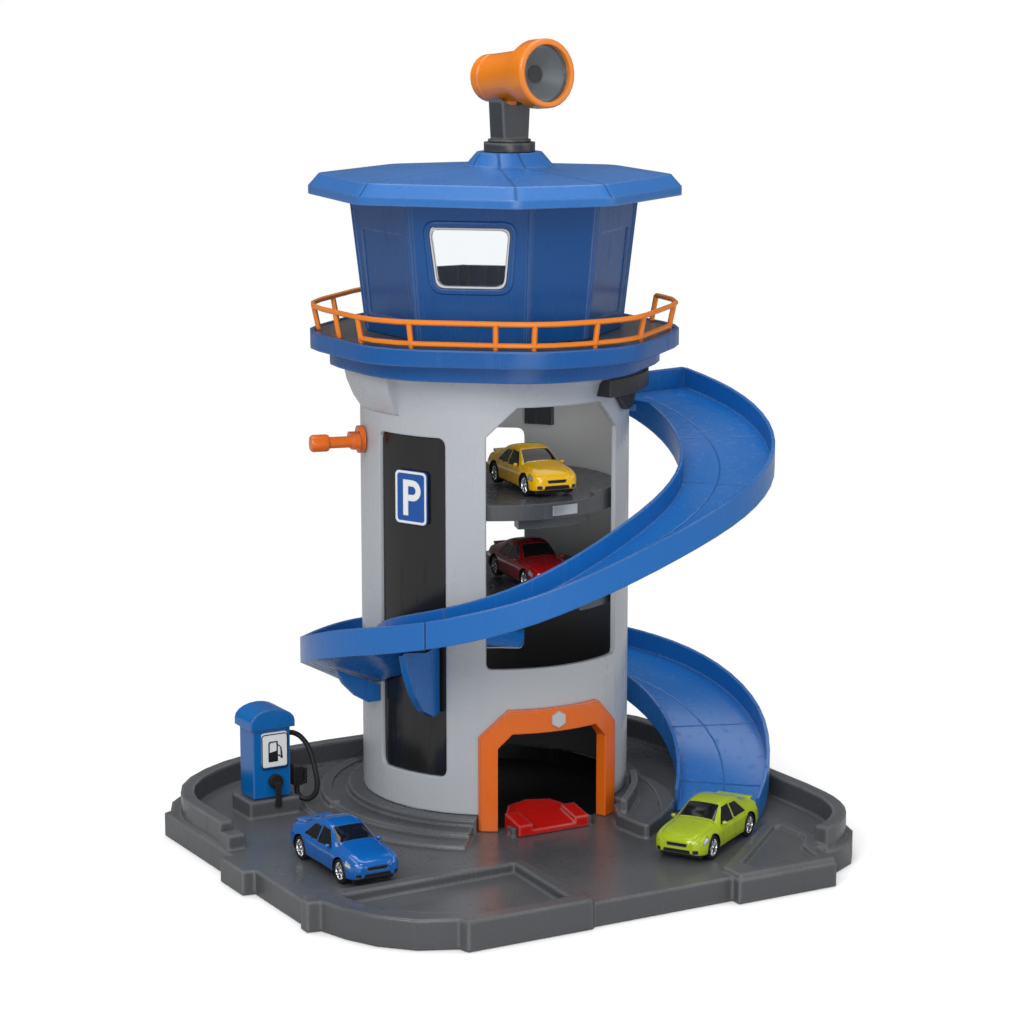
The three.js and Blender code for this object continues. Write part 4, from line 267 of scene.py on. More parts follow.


# materials

# each plastic: colour, roughness, mottle, moulded grain, edges lightened by abrasion and a painted
# highlight, and dust, then any further values
finishes = {
    "towerGrey": ("#b4b8bd", 0.28, 0.02, 0.1, 0.2, 0.05),
    # painted light: the tower's inner faces are the shell's grey plastic painted far lighter, and darkened
    # towards the foot further down
    "towerInsidePaintedLight": ("#eef0f2", 0.4, 0.03, 0.1, 0.1, 0.05),
    "baseGrey": ("#4e5053", 0.27, 0.05, 0.25, 0.25, 0.06),
    "worksGrey": ("#4a4d51", 0.25, 0.05, 0.2, 0.25, 0.06),
    "panelBlack": ("#1d1d1e", 0.16, 0.05, 0.04, 0.08, 0.03),
    "coneGrey": ("#666a6e", 0.35, 0.04, 0.04, 0.1, 0.02),
    # painted shade: the inside of the orange scope tube, behind the lens, is painted near black
    "boreShadeBlack": ("#1a1b1e", 0.4, 0.04, 0.04, 0.0, 0.02),
    "galleryBlue": ("#0d569c", 0.24, 0.03, 0.12, 0.16, 0.03, ("shine", 0.45)),
    # painted sheen: the roof is the gallery's blue plastic painted lighter, for the light and reflection on
    # its top
    "roofBlueWithSheen": ("#2f70ba", 0.27, 0.03, 0.12, 0.2, 0.03),
    # painted shade: the base plate's faces in the lift's shaft, grey plastic like the rest of the base, are
    # painted near black
    "shaftShadeBlack": ("#0c0d0e", 0.4, 0.05, 0.1, 0.0, 0.0),
    "postGrey": ("#3b3e41", 0.24, 0.03, 0.1, 0.25, 0.02),
    "cabinBlue": ("#074c8d", 0.24, 0.03, 0.12, 0.22, 0.02, ("shine", 0.45)),
    "rampBlue": ("#1666b2", 0.24, 0.03, 0.1, 0.16, 0.03, ("shine", 0.45)),
    "orange": ("#e06814", 0.22, 0.03, 0.06, 0.15, 0.02, ("shine", 0.5)),
    "scopeOrange": ("#ef8416", 0.18, 0.02, 0.05, 0.2, 0.01, ("shine", 0.5)),
    "railOrange": ("#f08418", 0.3, 0.02, 0.05, 0.1, 0.02, ("shine", 0.4)),
    "flapRed": ("#b8120a", 0.14, 0.03, 0.05, 0.3, 0.01, ("shine", 0.5)),
    "pumpBlue": ("#0063ad", 0.18, 0.03, 0.05, 0.2, 0.02, ("shine", 0.5)),
    "bracketBlack": ("#232427", 0.38, 0.05, 0.2, 0.2, 0.06),
    "signBlue": ("#0d4f9e", 0.3, 0.01, 0.02, 0.02, 0.01),
    "signWhite": ("#e9ebec", 0.4, 0.01, 0.02, 0.0, 0.02),
    "signBlack": ("#141414", 0.4, 0.01, 0.02, 0.0, 0.02),
    "badgeGrey": ("#b9bcc0", 0.3, 0.02, 0.03, 0.05, 0.02),
    "trimWhite": ("#cfd4da", 0.3, 0.02, 0.03, 0.1, 0.02),
    "hoseRubber": ("#1b1b1c", 0.5, 0.06, 0.4, 0.1, 0.1),
    "tyreRubber": ("#131314", 0.55, 0.05, 0.4, 0.05, 0.03),
    "carBlack": ("#17171a", 0.35, 0.03, 0.1, 0.1, 0.05),
    "labelSilver": ("#c9ccd0", 0.24, 0.02, 0.02, 0.1, 0.02, ("metal", 0.7)),
    "rodSteel": ("#b8babd", 0.25, 0.03, 0.1, 0.0, 0.02, ("metal", 1.0)),
    "hubChrome": ("#dfe1e4", 0.18, 0.02, 0.02, 0.0, 0.02, ("metal", 0.9)),
    "bluePaint": ("#0a5cab", 0.14, 0.03, 0.03, 0.2, 0.01, ("coat", 0.7), ("shine", 0.5)),
    "limePaint": ("#a6bc12", 0.14, 0.03, 0.03, 0.2, 0.01, ("coat", 0.7), ("shine", 0.5)),
    "yellowPaint": ("#f2bd00", 0.14, 0.03, 0.03, 0.2, 0.01, ("coat", 0.7), ("shine", 0.5)),
    "redPaint": ("#960a10", 0.14, 0.03, 0.03, 0.2, 0.01, ("coat", 0.7), ("shine", 0.5)),
    "carGlass": ("#101114", 0.08, 0.02, 0.0, 0.0, 0.02, ("coat", 0.4)),
    "lampRed": ("#8e1411", 0.15, 0.02, 0.0, 0.0, 0.0, ("coat", 0.5)),
    "lampClear": ("#cdd6dc", 0.1, 0.05, 0.0, 0.0, 0.0, ("metal", 0.6)),
}


coatGloss = 0.08


def newMaterial(name):
    material = bpy.data.materials.new(name)
    material.use_nodes = True
    return material, material.node_tree, material.node_tree.nodes["Principled BSDF"]


def makePlastic(name, rounding):
    colour, *amounts = finishes[name][:6]
    further = dict(finishes[name][6:])
    material, tree, shader = newMaterial(name)
    skin = addNode(tree, "ShaderNodeGroup", -300, 200, node_tree=plasticGroup)
    skin.name = "skin"
    setSockets(skin, {"Colour": linear(colour), "Rounding": rounding})
    setSockets(skin, dict(zip(("Gloss", "Mottle", "Grain", "EdgeWearAndHighlight", "Dust"), amounts)))
    plug(tree, skin.outputs["Colour"], shader.inputs["Base Color"])
    plug(tree, skin.outputs["Roughness"], shader.inputs["Roughness"])
    plug(tree, skin.outputs["Normal"], shader.inputs["Normal"])
    shader.inputs["Metallic"].default_value = further.get("metal", 0)
    shader.inputs["Specular IOR Level"].default_value = further.get("shine", 0.5)
    shader.inputs["Coat Weight"].default_value = further.get("coat", 0)
    shader.inputs["Coat Roughness"].default_value = coatGloss
    return material


clear = {"gloss": 0.03, "bending": 1.3, "ripple": (60, 2), "rippleStrength": 0.05, "rippleDepth": 0.0002}


def makePane(name, colour):
    # clear plastic with a faint ripple
    material, tree, shader = newMaterial(name)
    setSockets(shader, {"Base Color": linear(colour), "Roughness": clear["gloss"], "IOR": clear["bending"]})
    shader.inputs["Transmission Weight"].default_value = 1
    place = addNode(tree, "ShaderNodeTexCoord", -800, 0)
    ripple = addNoise(tree, -600, 0, *clear["ripple"], place.outputs["Object"])
    bump = addNode(tree, "ShaderNodeBump", -350, -100)
    setSockets(bump, {"Strength": clear["rippleStrength"], "Distance": clear["rippleDepth"]})
    plug(tree, ripple, bump.inputs["Height"])
    plug(tree, bump.outputs[0], shader.inputs["Normal"])
    return material


def paintShadeDownwards(material, low, high, share):
    # paints shade on a plastic: its own colour at one height, darkened to a share of it at a lower one
    tree = material.node_tree
    place = addNode(tree, "ShaderNodeTexCoord", -900, 600)
    split = addNode(tree, "ShaderNodeSeparateXYZ", -700, 600)
    plug(tree, place.outputs["Object"], split.inputs[0])
    rise = addNode(tree, "ShaderNodeMapRange", -500, 600, interpolation_type="SMOOTHSTEP")
    setSockets(rise, {"From Min": low, "From Max": high, "To Min": share, "To Max": 1})
    plug(tree, split.outputs["Z"], rise.inputs["Value"])
    shaded = addNode(tree, "ShaderNodeHueSaturation", -200, 600)
    plug(tree, rise.outputs["Result"], shaded.inputs["Value"])
    plug(tree, tree.nodes["skin"].outputs["Colour"], shaded.inputs["Color"])
    plug(tree, shaded.outputs[0], tree.nodes["Principled BSDF"].inputs["Base Color"])


groove = {"tone": (0.01, 0.03, 0.1, 1), "strength": 0.7, "steepness": 0.5}


def addSeams(material, lines, width, depth):
    # darkens a plastic and sinks its surface along moulded lines
    tree = material.node_tree
    shader = tree.nodes["Principled BSDF"]
    skin = tree.nodes["skin"]
    total = 0
    for i, (kind, values) in enumerate(lines):
        seam = addNode(tree, "ShaderNodeGroup", -900, 500 - 180 * i, node_tree=seamGroups[kind])
        setSockets(seam, {"Width": width, **values})
        total = calculate(tree, "MAXIMUM", -650, 500 - 180 * i, total, seam.outputs[0])
    dark = calculate(tree, "MULTIPLY", -250, 500, total, depth)
    shaded = mixColours(tree, -50, 400, dark, skin.outputs["Colour"], groove["tone"])
    plug(tree, shaded, shader.inputs["Base Color"])
    sunk = addNode(tree, "ShaderNodeBump", -50, -200, invert=True)
    setSockets(sunk, {"Strength": groove["strength"], "Distance": width * groove["steepness"]})
    plug(tree, total, sunk.inputs["Height"])
    plug(tree, skin.outputs["Normal"], sunk.inputs["Normal"])
    plug(tree, sunk.outputs[0], shader.inputs["Normal"])


# softer edges on the large mouldings than on the small ones
roundings = {
    "baseGrey": 0.0028, "rampBlue": 0.0013, "galleryBlue": 0.0018, "roofBlueWithSheen": 0.0018, "cabinBlue": 0.0012,
    "flapRed": 0.002, "towerGrey": 0.0014, "orange": 0.0012, "scopeOrange": 0.0014, "postGrey": 0.0024,
    "pumpBlue": 0.0016,
}
smallRounding = 0.0007
materials = {name: makePlastic(name, roundings.get(name, smallRounding)) for name in finishes}
rampSeams = {
    "ramp_top": [("straight", {"Bearing": 67}), ("straight", {"Bearing": 41}),
        ("curved", {"Centre": (0.0084, -0.0242, 0), "Radius": 0.0969})],
    "ramp_bottom": [("straight", {"Bearing": 69}), ("straight", {"Bearing": 48}),
        ("curved", {"Centre": (0.0208, -0.0344, 0), "Radius": 0.0854})],
}
for node, lines in rampSeams.items():
    materials[node] = makePlastic("rampBlue", roundings["rampBlue"])
    addSeams(materials[node], lines, width=seamWidth, depth=0.5)
roofTurn = -8
roofCorners = (-165, -115, -65, -15, 15, 65, 115, 165)
roofSeams = [("straight", {"Bearing": corner + roofTurn}) for corner in roofCorners]
addSeams(materials["roofBlueWithSheen"], roofSeams, width=0.0011, depth=0.55)
# painted shade: the tower's inside darkens towards its foot, where less light gets in
paintShadeDownwards(materials["towerInsidePaintedLight"], low=0.075, high=0.21, share=0.06)
materials["paneClear"] = makePane("paneClear", "#f4f8fa")
materials["lensClear"] = makePane("lensClear", "#dfe4e8")
print("materials built")


# the CAD solids listed here are shown as merged copies, so that their round walls shade smoothly

dressed = {
    "base_plate": "baseGrey", "tower_shell": "towerGrey", "entrance_arch": "orange",
    "boarding_flap": "flapRed", "side_panel": "panelBlack", "parking_sign": "signBlue",
    "gallery_deck": "galleryBlue", "gallery_floor": "baseGrey", "gallery_railing": "railOrange",
    "cabin_shell": "cabinBlue", "cabin_pane": "paneClear", "window_trim": "trimWhite", "roof": "roofBlueWithSheen",
    "scope_collar": "postGrey", "scope_post": "postGrey", "scope_tube": "scopeOrange",
    "scope_lens": "lensClear", "scope_cone": "coneGrey", "ramp_top": "ramp_top",
    "ramp_middle": "rampBlue", "ramp_bottom": "ramp_bottom", "ramp_bracket_left": "rampBlue",
    "ramp_bracket_right": "rampBlue", "exit_arm": "bracketBlack", "crank_arm": "orange",
    "crank_knob": "orange", "crank_bushing": "orange", "drive_pulley": "worksGrey",
    "idler_pulley": "worksGrey", "idler_bracket": "baseGrey", "drive_belt": "hoseRubber",
    "lift_head": "worksGrey", "guide_rods": "rodSteel", "lift_carriage": "worksGrey",
    "upper_deck": "worksGrey", "lower_deck": "worksGrey", "deck_guide": "worksGrey",
    "deck_label": "labelSilver", "pump_body": "pumpBlue", "pump_cap": "pumpBlue",
    "pump_sign": "signWhite", "pump_holster": "tyreRubber", "pump_nozzle": "hoseRubber",
}

# how near, in metres, counts as the same place when points are merged, faces cut or spots tested
tolerance = {"merge": 0.000002, "rim": 0.000004, "cut": 0.000001, "inside": 0.00001}


def meshFrom(bm, name):
    mesh = bpy.data.meshes.new(name)
    bm.to_mesh(mesh)
    bm.free()
    return mesh


def finishMesh(bm, name, looks, body, crease=34, weighted=True):
    # shades the mesh smooth up to its creases and makes it a piece that rides on a body
    for face in bm.faces:
        face.smooth = True
    for edge in bm.edges:
        edge.smooth = len(edge.link_faces) == 2 and edge.calc_face_angle(0) < radians(crease)
    mesh = meshFrom(bm, name)
    for entry in looks:
        mesh.materials.append(entry)
    made = bpy.data.objects.new(name, mesh)
    bpy.context.scene.collection.objects.link(made)
    if weighted:
        made.modifiers.new("flat faces stay flat", "WEIGHTED_NORMAL").keep_sharp = True
    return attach(made, body)


def copyOfNode(node):
    bm = bmesh.new()
    bm.from_mesh(frame["nodes"][node].data)
    bmesh.ops.remove_doubles(bm, verts=bm.verts, dist=tolerance["merge"])
    return bm


facing = {"axis": -0.5, "down": -0.9}


def looksAtAxis(face):
    # true on the inner side of the round tower
    middle = face.calc_center_median()
    inward = face.normal.dot(Vector((middle.x, middle.y, 0)).normalized()) < facing["axis"]
    return inward or face.normal.z < facing["down"]


badge = {"bearing": -3.2, "height": 0.0692, "reach": 0.0049, "front": 0.0735, "edge": 0.3}


def onBadge(face):
    # true on the blank raised badge above the entrance
    out = planDirection(badge["bearing"])
    middle = face.calc_center_median()
    beside = middle.x * out.y - middle.y * out.x
    proud = middle.xy.dot(out.xy) > badge["front"] or abs(face.normal.dot(out)) < badge["edge"]
    return proud and hypot(beside, middle.z - badge["height"]) < badge["reach"]


def nodeMiddle(node):
    spots = [v.co for v in frame["nodes"][node].data.vertices]
    return sum(spots, Vector()) / len(spots)


bore = {"radius": 0.0092, "from": -0.046, "to": -0.002}


def inBore(face):
    # true inside the scope's tube, behind the lens
    along = (nodeMiddle("scope_lens") - nodeMiddle("scope_cone")).normalized()
    away = face.calc_center_median() - nodeMiddle("scope_lens")
    back = away.dot(along)
    return bore["from"] < back < bore["to"] and (away - along * back).length < bore["radius"]


shaft = {"radius": 0.0665, "floor": 0.011}


def inShaft(face):
    # true on the floor and wall of the lift's shaft
    middle = face.calc_center_median()
    return middle.xy.length < shaft["radius"] and middle.z > shaft["floor"]


# nodes with a second finish on some of their faces: painted light and shade on the tower's inside, painted
# shade in the lift's shaft and the scope's bore, and the badge's own grey
secondFinishes = {
    "tower_shell": ("towerInsidePaintedLight", looksAtAxis), "entrance_arch": ("badgeGrey", onBadge),
    "scope_tube": ("boreShadeBlack", inBore), "base_plate": ("shaftShadeBlack", inShaft),
}


def planDirection(bearing):
    # level direction at a bearing from -Y towards +X
    return Vector((sin(radians(bearing)), -cos(radians(bearing)), 0))


def dressNode(node, finish):
    bm = copyOfNode(node)
    looks = [materials[finish]]
    if node in secondFinishes:
        other, chosen = secondFinishes[node]
        looks.append(materials[other])
        for face in bm.faces:
            face.material_index = int(chosen(face))
    piece = finishMesh(bm, node + "_skin", looks, bodyOf[node])
    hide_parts(node)
    return piece


skins = {node: dressNode(node, finish) for node, finish in dressed.items()}
print("plain pieces dressed")


# flat work on the signs and the cabin: made in millimetres on a plane, x to the right, y up and z out of it

def planeAt(bearing, distance, height, lean=0):
    # the place of a plane that faces out from the tower's axis; lean tips its top outwards
    out = planDirection(bearing)
    upright = Vector((0, 0, 1))
    up = upright * cos(lean) + out * sin(lean)
    face = out * cos(lean) - upright * sin(lean)
    side = up.cross(face)
    frameOf = Matrix((side, up, face)).transposed().to_4x4()
    return Matrix.Translation(out * distance + upright * height) @ frameOf @ Matrix.Scale(mm, 4)


def roundedOutline(width, height, corner, steps=6):
    # a rectangle's outline with round corners, anticlockwise from the right of its foot
    points = []
    for quarter, (sx, sy) in enumerate(((1, -1), (1, 1), (-1, 1), (-1, -1))):
        for i in range(steps + 1):
            turn = pi / 2 * (quarter - 1 + i / steps)
            points.append((sx * (width / 2 - corner) + corner * cos(turn),
                sy * (height / 2 - corner) + corner * sin(turn)))
    return points


def addRings(bm, lines):
    # a ring of points for each outline and its height
    return [[bm.verts.new((x, y, z)) for x, y in line] for line, z in lines]


def joinRings(bm, rings):
    for a, b in zip(rings, rings[1:]):
        for i, following in enumerate([*range(1, len(a)), 0]):
            bm.faces.new((a[i], a[following], b[following], b[i]))


def addPlate(bm, outline, low, high):
    # an outline raised from one height to another
    rings = addRings(bm, ((outline, low), (outline, high)))
    bm.faces.new(rings[1])
    bm.faces.new(rings[0][::-1])
    joinRings(bm, rings)


def addFrame(bm, outer, inner, low, high):
    # the band between two outlines with as many points, raised from one height to another
    rings = addRings(bm, ((outer, low), (outer, high), (inner, high), (inner, low)))
    joinRings(bm, [*rings, rings[0]])


def finishFlat(bm, name, looks, body, place):
    bmesh.ops.transform(bm, matrix=place, verts=bm.verts)
    return finishMesh(bm, name, [materials[look] for look in looks], body, weighted=False)


sign = {
    "bearing": -66.5, "distance": 0.0699, "height": 0.182, "width": 20.4, "tall": 27.4, "corner": 2.5,
    "inset": 0.5, "border": 1.3, "innerCorner": 1.5, "print": (0.02, 0.2),
}
letter = {"left": -5.0, "foot": -9.4, "top": 9.0, "stroke": 3.3, "bowl": 5.4, "flat": 0.6, "arcSteps": 16}


def makeParkingSign():
    # a white border line and the usual letter of a parking sign
    bm = bmesh.new()
    width, tall, band = sign["width"] - sign["inset"], sign["tall"] - sign["inset"], sign["border"] * 2
    outer = roundedOutline(width, tall, sign["corner"])
    inner = roundedOutline(width - band, tall - band, sign["innerCorner"])
    addFrame(bm, outer, inner, *sign["print"])
    left, foot, top, stroke, bowl = (letter[key] for key in ("left", "foot", "top", "stroke", "bowl"))
    right = left + stroke
    addPlate(bm, [(left, foot), (right, foot), (right, top), (left, top)], *sign["print"])
    across, up = left + bowl + letter["flat"], top - bowl
    turns = [pi / 2 - pi * i / letter["arcSteps"] for i in range(letter["arcSteps"] + 1)]
    outside, hollow = ([(across + reach * cos(t), up + reach * sin(t)) for t in turns]
        for reach in (bowl, bowl - stroke))
    low = top - 2 * bowl
    outline = [(right, top), *outside, (right, low), (right, low + stroke), *hollow[::-1],
        (right, top - stroke)]
    addPlate(bm, outline[::-1], *sign["print"])
    finishFlat(bm, "parking_sign_print", ["signWhite"], "garage",
        planeAt(sign["bearing"], sign["distance"], sign["height"]))


pumpSign = {
    "place": (-0.1198, 0.01955, 0.0459), "width": 14.4, "tall": 18.4, "corner": 1.6, "edge": 0.5,
    "cornerEdge": 0.2, "frame": (0.0, 0.12), "print": (0.02, 0.14),
}
pumpPictogram = [
    [(-3.6, -5.4), (1.7, -5.4), (1.7, 0.4), (-3.6, -0.6)],
    [(-3.6, -0.6), (-2.9, -0.5), (-2.9, 4.4), (-3.6, 4.4)],
    [(1.0, 0.2), (1.7, 0.4), (1.7, 5.4), (1.0, 5.4)],
    [(-3.6, 4.4), (-2.9, 3.9), (-2.4, 4.8), (1.0, 4.8), (1.7, 5.4), (-2.8, 5.5)],
    [(1.7, 3.6), (2.6, 3.2), (3.7, 1.9), (3.3, 1.5), (2.4, 2.6), (1.7, 3.0)],
    [(3.1, 1.7), (3.8, 1.8), (4.1, -0.6), (4.5, -3.8), (3.7, -4.0), (3.3, -1.4)],
    [(1.7, -2.4), (2.7, -2.9), (3.7, -4.0), (4.0, -3.4), (2.9, -2.1), (1.7, -1.8)],
]


def makePumpSign():
    # a dark line round the plate and a fuel pump pictogram
    bm = bmesh.new()
    outer, inner = (roundedOutline(pumpSign["width"] + side * pumpSign["edge"],
        pumpSign["tall"] + side * pumpSign["edge"], pumpSign["corner"] + side * pumpSign["cornerEdge"])
        for side in (1, -1))
    addFrame(bm, outer, inner, *pumpSign["frame"])
    for shape in pumpPictogram:
        addPlate(bm, shape, *pumpSign["print"])
    place = Matrix.Translation(pumpSign["place"]) @ Matrix.Rotation(pi / 2, 4, "X")
    finishFlat(bm, "pump_sign_print", ["signBlack"], "garage", place @ Matrix.Scale(mm, 4))


window = {
    "bearing": -40, "height": 0.3035, "distance": 0.06418, "lean": 0.1018, "width": 42, "footWidth": 35.5,
    "tall": 31, "corner": 4.5, "bezel": ((3.2, 0.05), (2.3, 0.8), (0.1, 0.8), (0.1, 0.05)),
}


def windowOutline(grow, steps=6):
    # the window's outline, narrower at its foot, with a band of a width added all round
    top, foot, tall = window["width"] / 2 + grow, window["footWidth"] / 2 + grow, window["tall"] / 2 + grow
    corners = [Vector(spot) for spot in ((-foot, -tall), (foot, -tall), (top, tall), (-top, tall))]
    points = []
    for i, corner in enumerate(corners):
        before = corner + (corners[i - 1] - corner).normalized() * (window["corner"] + grow)
        after = corner + (corners[(i + 1) % 4] - corner).normalized() * (window["corner"] + grow)
        for step in range(steps + 1):
            t = step / steps
            points.append(tuple(before * (1 - t) ** 2 + corner * 2 * t * (1 - t) + after * t ** 2))
    return points


def makeWindowBezel():
    # the raised blue surround of the cabin's front window
    bm = bmesh.new()
    joinRings(bm, addRings(bm, [(windowOutline(grow), height) for grow, height in window["bezel"]]))
    finishFlat(bm, "window_bezel", ["cabinBlue"], "garage",
        planeAt(window["bearing"], window["distance"], window["height"], window["lean"]))


makeParkingSign()
makePumpSign()
makeWindowBezel()
print("signs printed")


# fuel hose: a free cord from the pump's side to the nozzle in its holder

hose = {
    "diameter": 0.0028, "bowing": 1.01,
    "points": [
        (-0.1102, 0.03, 0.052), (-0.1072, 0.03, 0.052), (-0.1032, 0.0292, 0.051), (-0.0994, 0.0274, 0.0474),
        (-0.097, 0.0254, 0.042), (-0.0958, 0.0236, 0.0356), (-0.0952, 0.022, 0.03), (-0.095, 0.021, 0.0244),
        (-0.0958, 0.0212, 0.02), (-0.0979, 0.0229, 0.017), (-0.1004, 0.0254, 0.0162),
        (-0.1024, 0.0278, 0.0178), (-0.1031, 0.0289, 0.0206), (-0.1031, 0.0289, 0.0234),
    ],
}


def makeHose():
    line = bpy.data.curves.new("fuel_hose", "CURVE")
    line.dimensions = "3D"
    line.bevel_depth = hose["diameter"] / 2
    line.bevel_resolution = 5
    line.use_fill_caps = True
    spline = line.splines.new("BEZIER")
    spline.bezier_points.add(len(hose["points"]) - 1)
    for knot, spot in zip(spline.bezier_points, hose["points"]):
        knot.co = spot
        knot.handle_left_type = knot.handle_right_type = "AUTO"
    line.materials.append(materials["hoseRubber"])
    made = bpy.data.objects.new("fuel_hose", line)
    bpy.context.scene.collection.objects.link(made)
    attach(made, "garage")
    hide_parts("pump_hose")


makeHose()
print("hose laid")


# toy cars: nose along +X and wheels on z = 0 while they are made, in millimetres, then put in their places

cars = {
    "blue": {"paint": "bluePaint", "place": (-128.3, -78, 12.2), "heading": -90},
    "lime": {"paint": "limePaint", "place": (46.6, -134, 12.2), "heading": -148},
    "yellow": {"paint": "yellowPaint", "place": (8.8, -23.6, 179.9), "heading": -97.5, "size": 0.93},
    "red": {"paint": "redPaint", "place": (8.8, -23.6, 130.2), "heading": -97.5, "size": 0.93},
}


def carPlace(car):
    x, y, z = car["place"]
    turn = Matrix.Rotation(radians(car["heading"]), 4, "Z")
    return Matrix.Translation((x * mm, y * mm, z * mm)) @ turn @ Matrix.Scale(car.get("size", 1), 4)


# stations from tail to nose: place, half width, sill height, waist height, roof half width, roof height
carStations = [
    (-36.0, 10.6, 5.4, 9.4, 8.2, 12.4), (-35.0, 12.4, 4.2, 9.9, 9.6, 14.2),
    (-32.0, 13.7, 3.4, 10.2, 10.2, 15.2), (-26.0, 14.2, 3.2, 10.4, 10.1, 16.0),
    (-21.0, 14.1, 3.2, 10.5, 9.5, 17.6), (-15.0, 14.0, 3.2, 10.5, 9.1, 19.8),
    (-9.0, 13.9, 3.2, 10.5, 9.0, 21.0), (-3.0, 13.9, 3.2, 10.5, 9.1, 21.1),
    (3.0, 13.9, 3.2, 10.5, 9.3, 20.2), (8.0, 14.0, 3.2, 10.5, 9.7, 18.2),
    (13.0, 14.1, 3.2, 10.5, 10.4, 15.6), (17.0, 14.2, 3.2, 10.4, 10.9, 14.7),
    (25.0, 14.1, 3.2, 10.2, 11.0, 13.8), (31.0, 13.3, 3.4, 9.8, 10.4, 12.7),
    (34.4, 11.5, 4.0, 9.2, 9.0, 11.4), (36.0, 8.8, 5.0, 8.4, 6.6, 10.0),
]
carMesh = {"alongSteps": 4, "aroundSteps": 4}
# the stations' and the regions' heights are stretched by this, the wheels' aren't
carRise = 24.2 / 21.2
wheel = {
    "radius": 6, "width": 4.4, "track": 13.9, "base": 21.8, "shoulder": 0.9, "axle": 0.9, "spokes": 5,
    "spokeLean": 0.16, "spokeWidth": 0.6, "spokeHeight": 0.7, "spokeRise": 0.25, "spokeOverrun": 0.5,
    "hub": 1.2, "hubTop": 0.84, "hubHeight": 1,
    "steps": ((0.5, 0, 0), (0.4, -0.25, 1), (0.3, -0.7, 2)),
}
carArch = {
    "height": wheel["radius"] / carRise, "radius": 6.9, "depth": 8.4, "sides": 24, "outer": 12, "inner": 5,
    "around": 2.4,
}


def throughPoints(points, steps):
    # an even run of points on a smooth line through the given ones, of any number of values each
    last = len(points) - 1
    run = []
    for i in range(last):
        a, b, c, d = (points[min(max(k, 0), last)] for k in (i - 1, i, i + 1, i + 2))
        for step in range(steps):
            t = step / steps
            run.append(tuple(q + ((r - p) * t + (2 * p - 5 * q + 4 * r - s) * t ** 2
                + (3 * q - p - 3 * r + s) * t ** 3) / 2 for p, q, r, s in zip(a, b, c, d)))
    return [*run, tuple(points[last])]


def carSection(station):
    # one half of a cross-section, from the middle of the underside to the middle of the roof
    x, half, sill, waist, roofHalf, roof = station
    middle = (sill + waist) / 2
    corners = [
        (0, sill), (half * 0.6, sill), (half * 0.93, sill + 0.2), (half, sill + 1.6),
        (half * 1.01, middle + 0.8), (half, waist - 0.4), (half * 0.965, waist + 0.9),
        ((half * 0.93 + roofHalf) / 2, (waist + roof) / 2 + 0.7), (roofHalf, roof - 1.3),
        (roofHalf * 0.8, roof - 0.35), (roofHalf * 0.4, roof - 0.05), (0, roof),
    ]
    return throughPoints(corners, carMesh["aroundSteps"])


def makeCarShell():
    # a closed smooth body, nose along +X
    bm = bmesh.new()
    rings = []
    for station in throughPoints(carStations, carMesh["alongSteps"]):
        line = carSection(station)
        loop = [(y, z) for y, z in line] + [(-y, z) for y, z in reversed(line[1:-1])]
        rings.append([bm.verts.new(Vector((station[0], y, z)) * mm) for y, z in loop])
    joinRings(bm, rings)
    bm.faces.new(rings[0])
    bm.faces.new(rings[-1])
    bmesh.ops.recalc_face_normals(bm, faces=bm.faces)
    return bm


def archPlanes(end, side):
    # the many-sided wheel opening, bounded by planes as the regions below are
    x, z = end * wheel["base"], carArch["height"]
    wide = carArch["radius"]
    high = wide / carRise
    turns = [2 * pi * i / carArch["sides"] for i in range(carArch["sides"])]
    around = [((x + wide * cos(t), 0, z + high * sin(t)), (high * cos(t), 0, wide * sin(t))) for t in turns]
    return [((x, side * carArch["depth"], z), (0, -side, 0)), *around]


def cutFaces(bm, faces, point, out):
    # cuts the faces along a plane
    cut = set(faces) | {e for f in faces for e in f.edges} | {v for f in faces for v in f.verts}
    bmesh.ops.bisect_plane(bm, geom=list(cut), dist=tolerance["cut"], plane_co=Vector(point) * mm,
        plane_no=Vector(out).normalized())


def cutArch(bm, end, side, wall):
    # takes a wheel opening out of the shell and gives it a dark wall
    planes = archPlanes(end, side)
    middle = Vector((end * wheel["base"], side * carArch["outer"], carArch["height"])) * mm
    reach = carArch["radius"] * carArch["around"] * mm
    for point, out in planes:
        spots = {f: f.calc_center_median() for f in bm.faces}
        cutFaces(bm, [f for f, spot in spots.items()
            if (spot - middle).length < reach and side * spot.y > carArch["inner"] * mm], point, out)
    gone = [f for f in bm.faces if inside(f.calc_center_median(), planes)]
    bmesh.ops.delete(bm, geom=gone, context="FACES")
    depth = side * carArch["depth"] * mm
    rim = [e for e in bm.edges
        if e.is_boundary and side * e.verts[0].co.y > 0 and end * e.verts[0].co.x > 0]
    curved = [e for e in rim if any(abs(v.co.y - depth) > tolerance["inside"] for v in e.verts)]
    made = bmesh.ops.extrude_edge_only(bm, edges=curved)["geom"]
    for item in made:
        if isinstance(item, bmesh.types.BMVert):
            item.co.y = depth
        if isinstance(item, bmesh.types.BMFace):
            item.material_index = wall
    bmesh.ops.remove_doubles(bm, verts=[v for v in bm.verts if v.is_boundary], dist=tolerance["rim"])
    filled = bmesh.ops.holes_fill(bm, edges=[e for e in bm.edges if e.is_boundary], sides=0)["faces"]
    for face in filled:
        face.material_index = wall


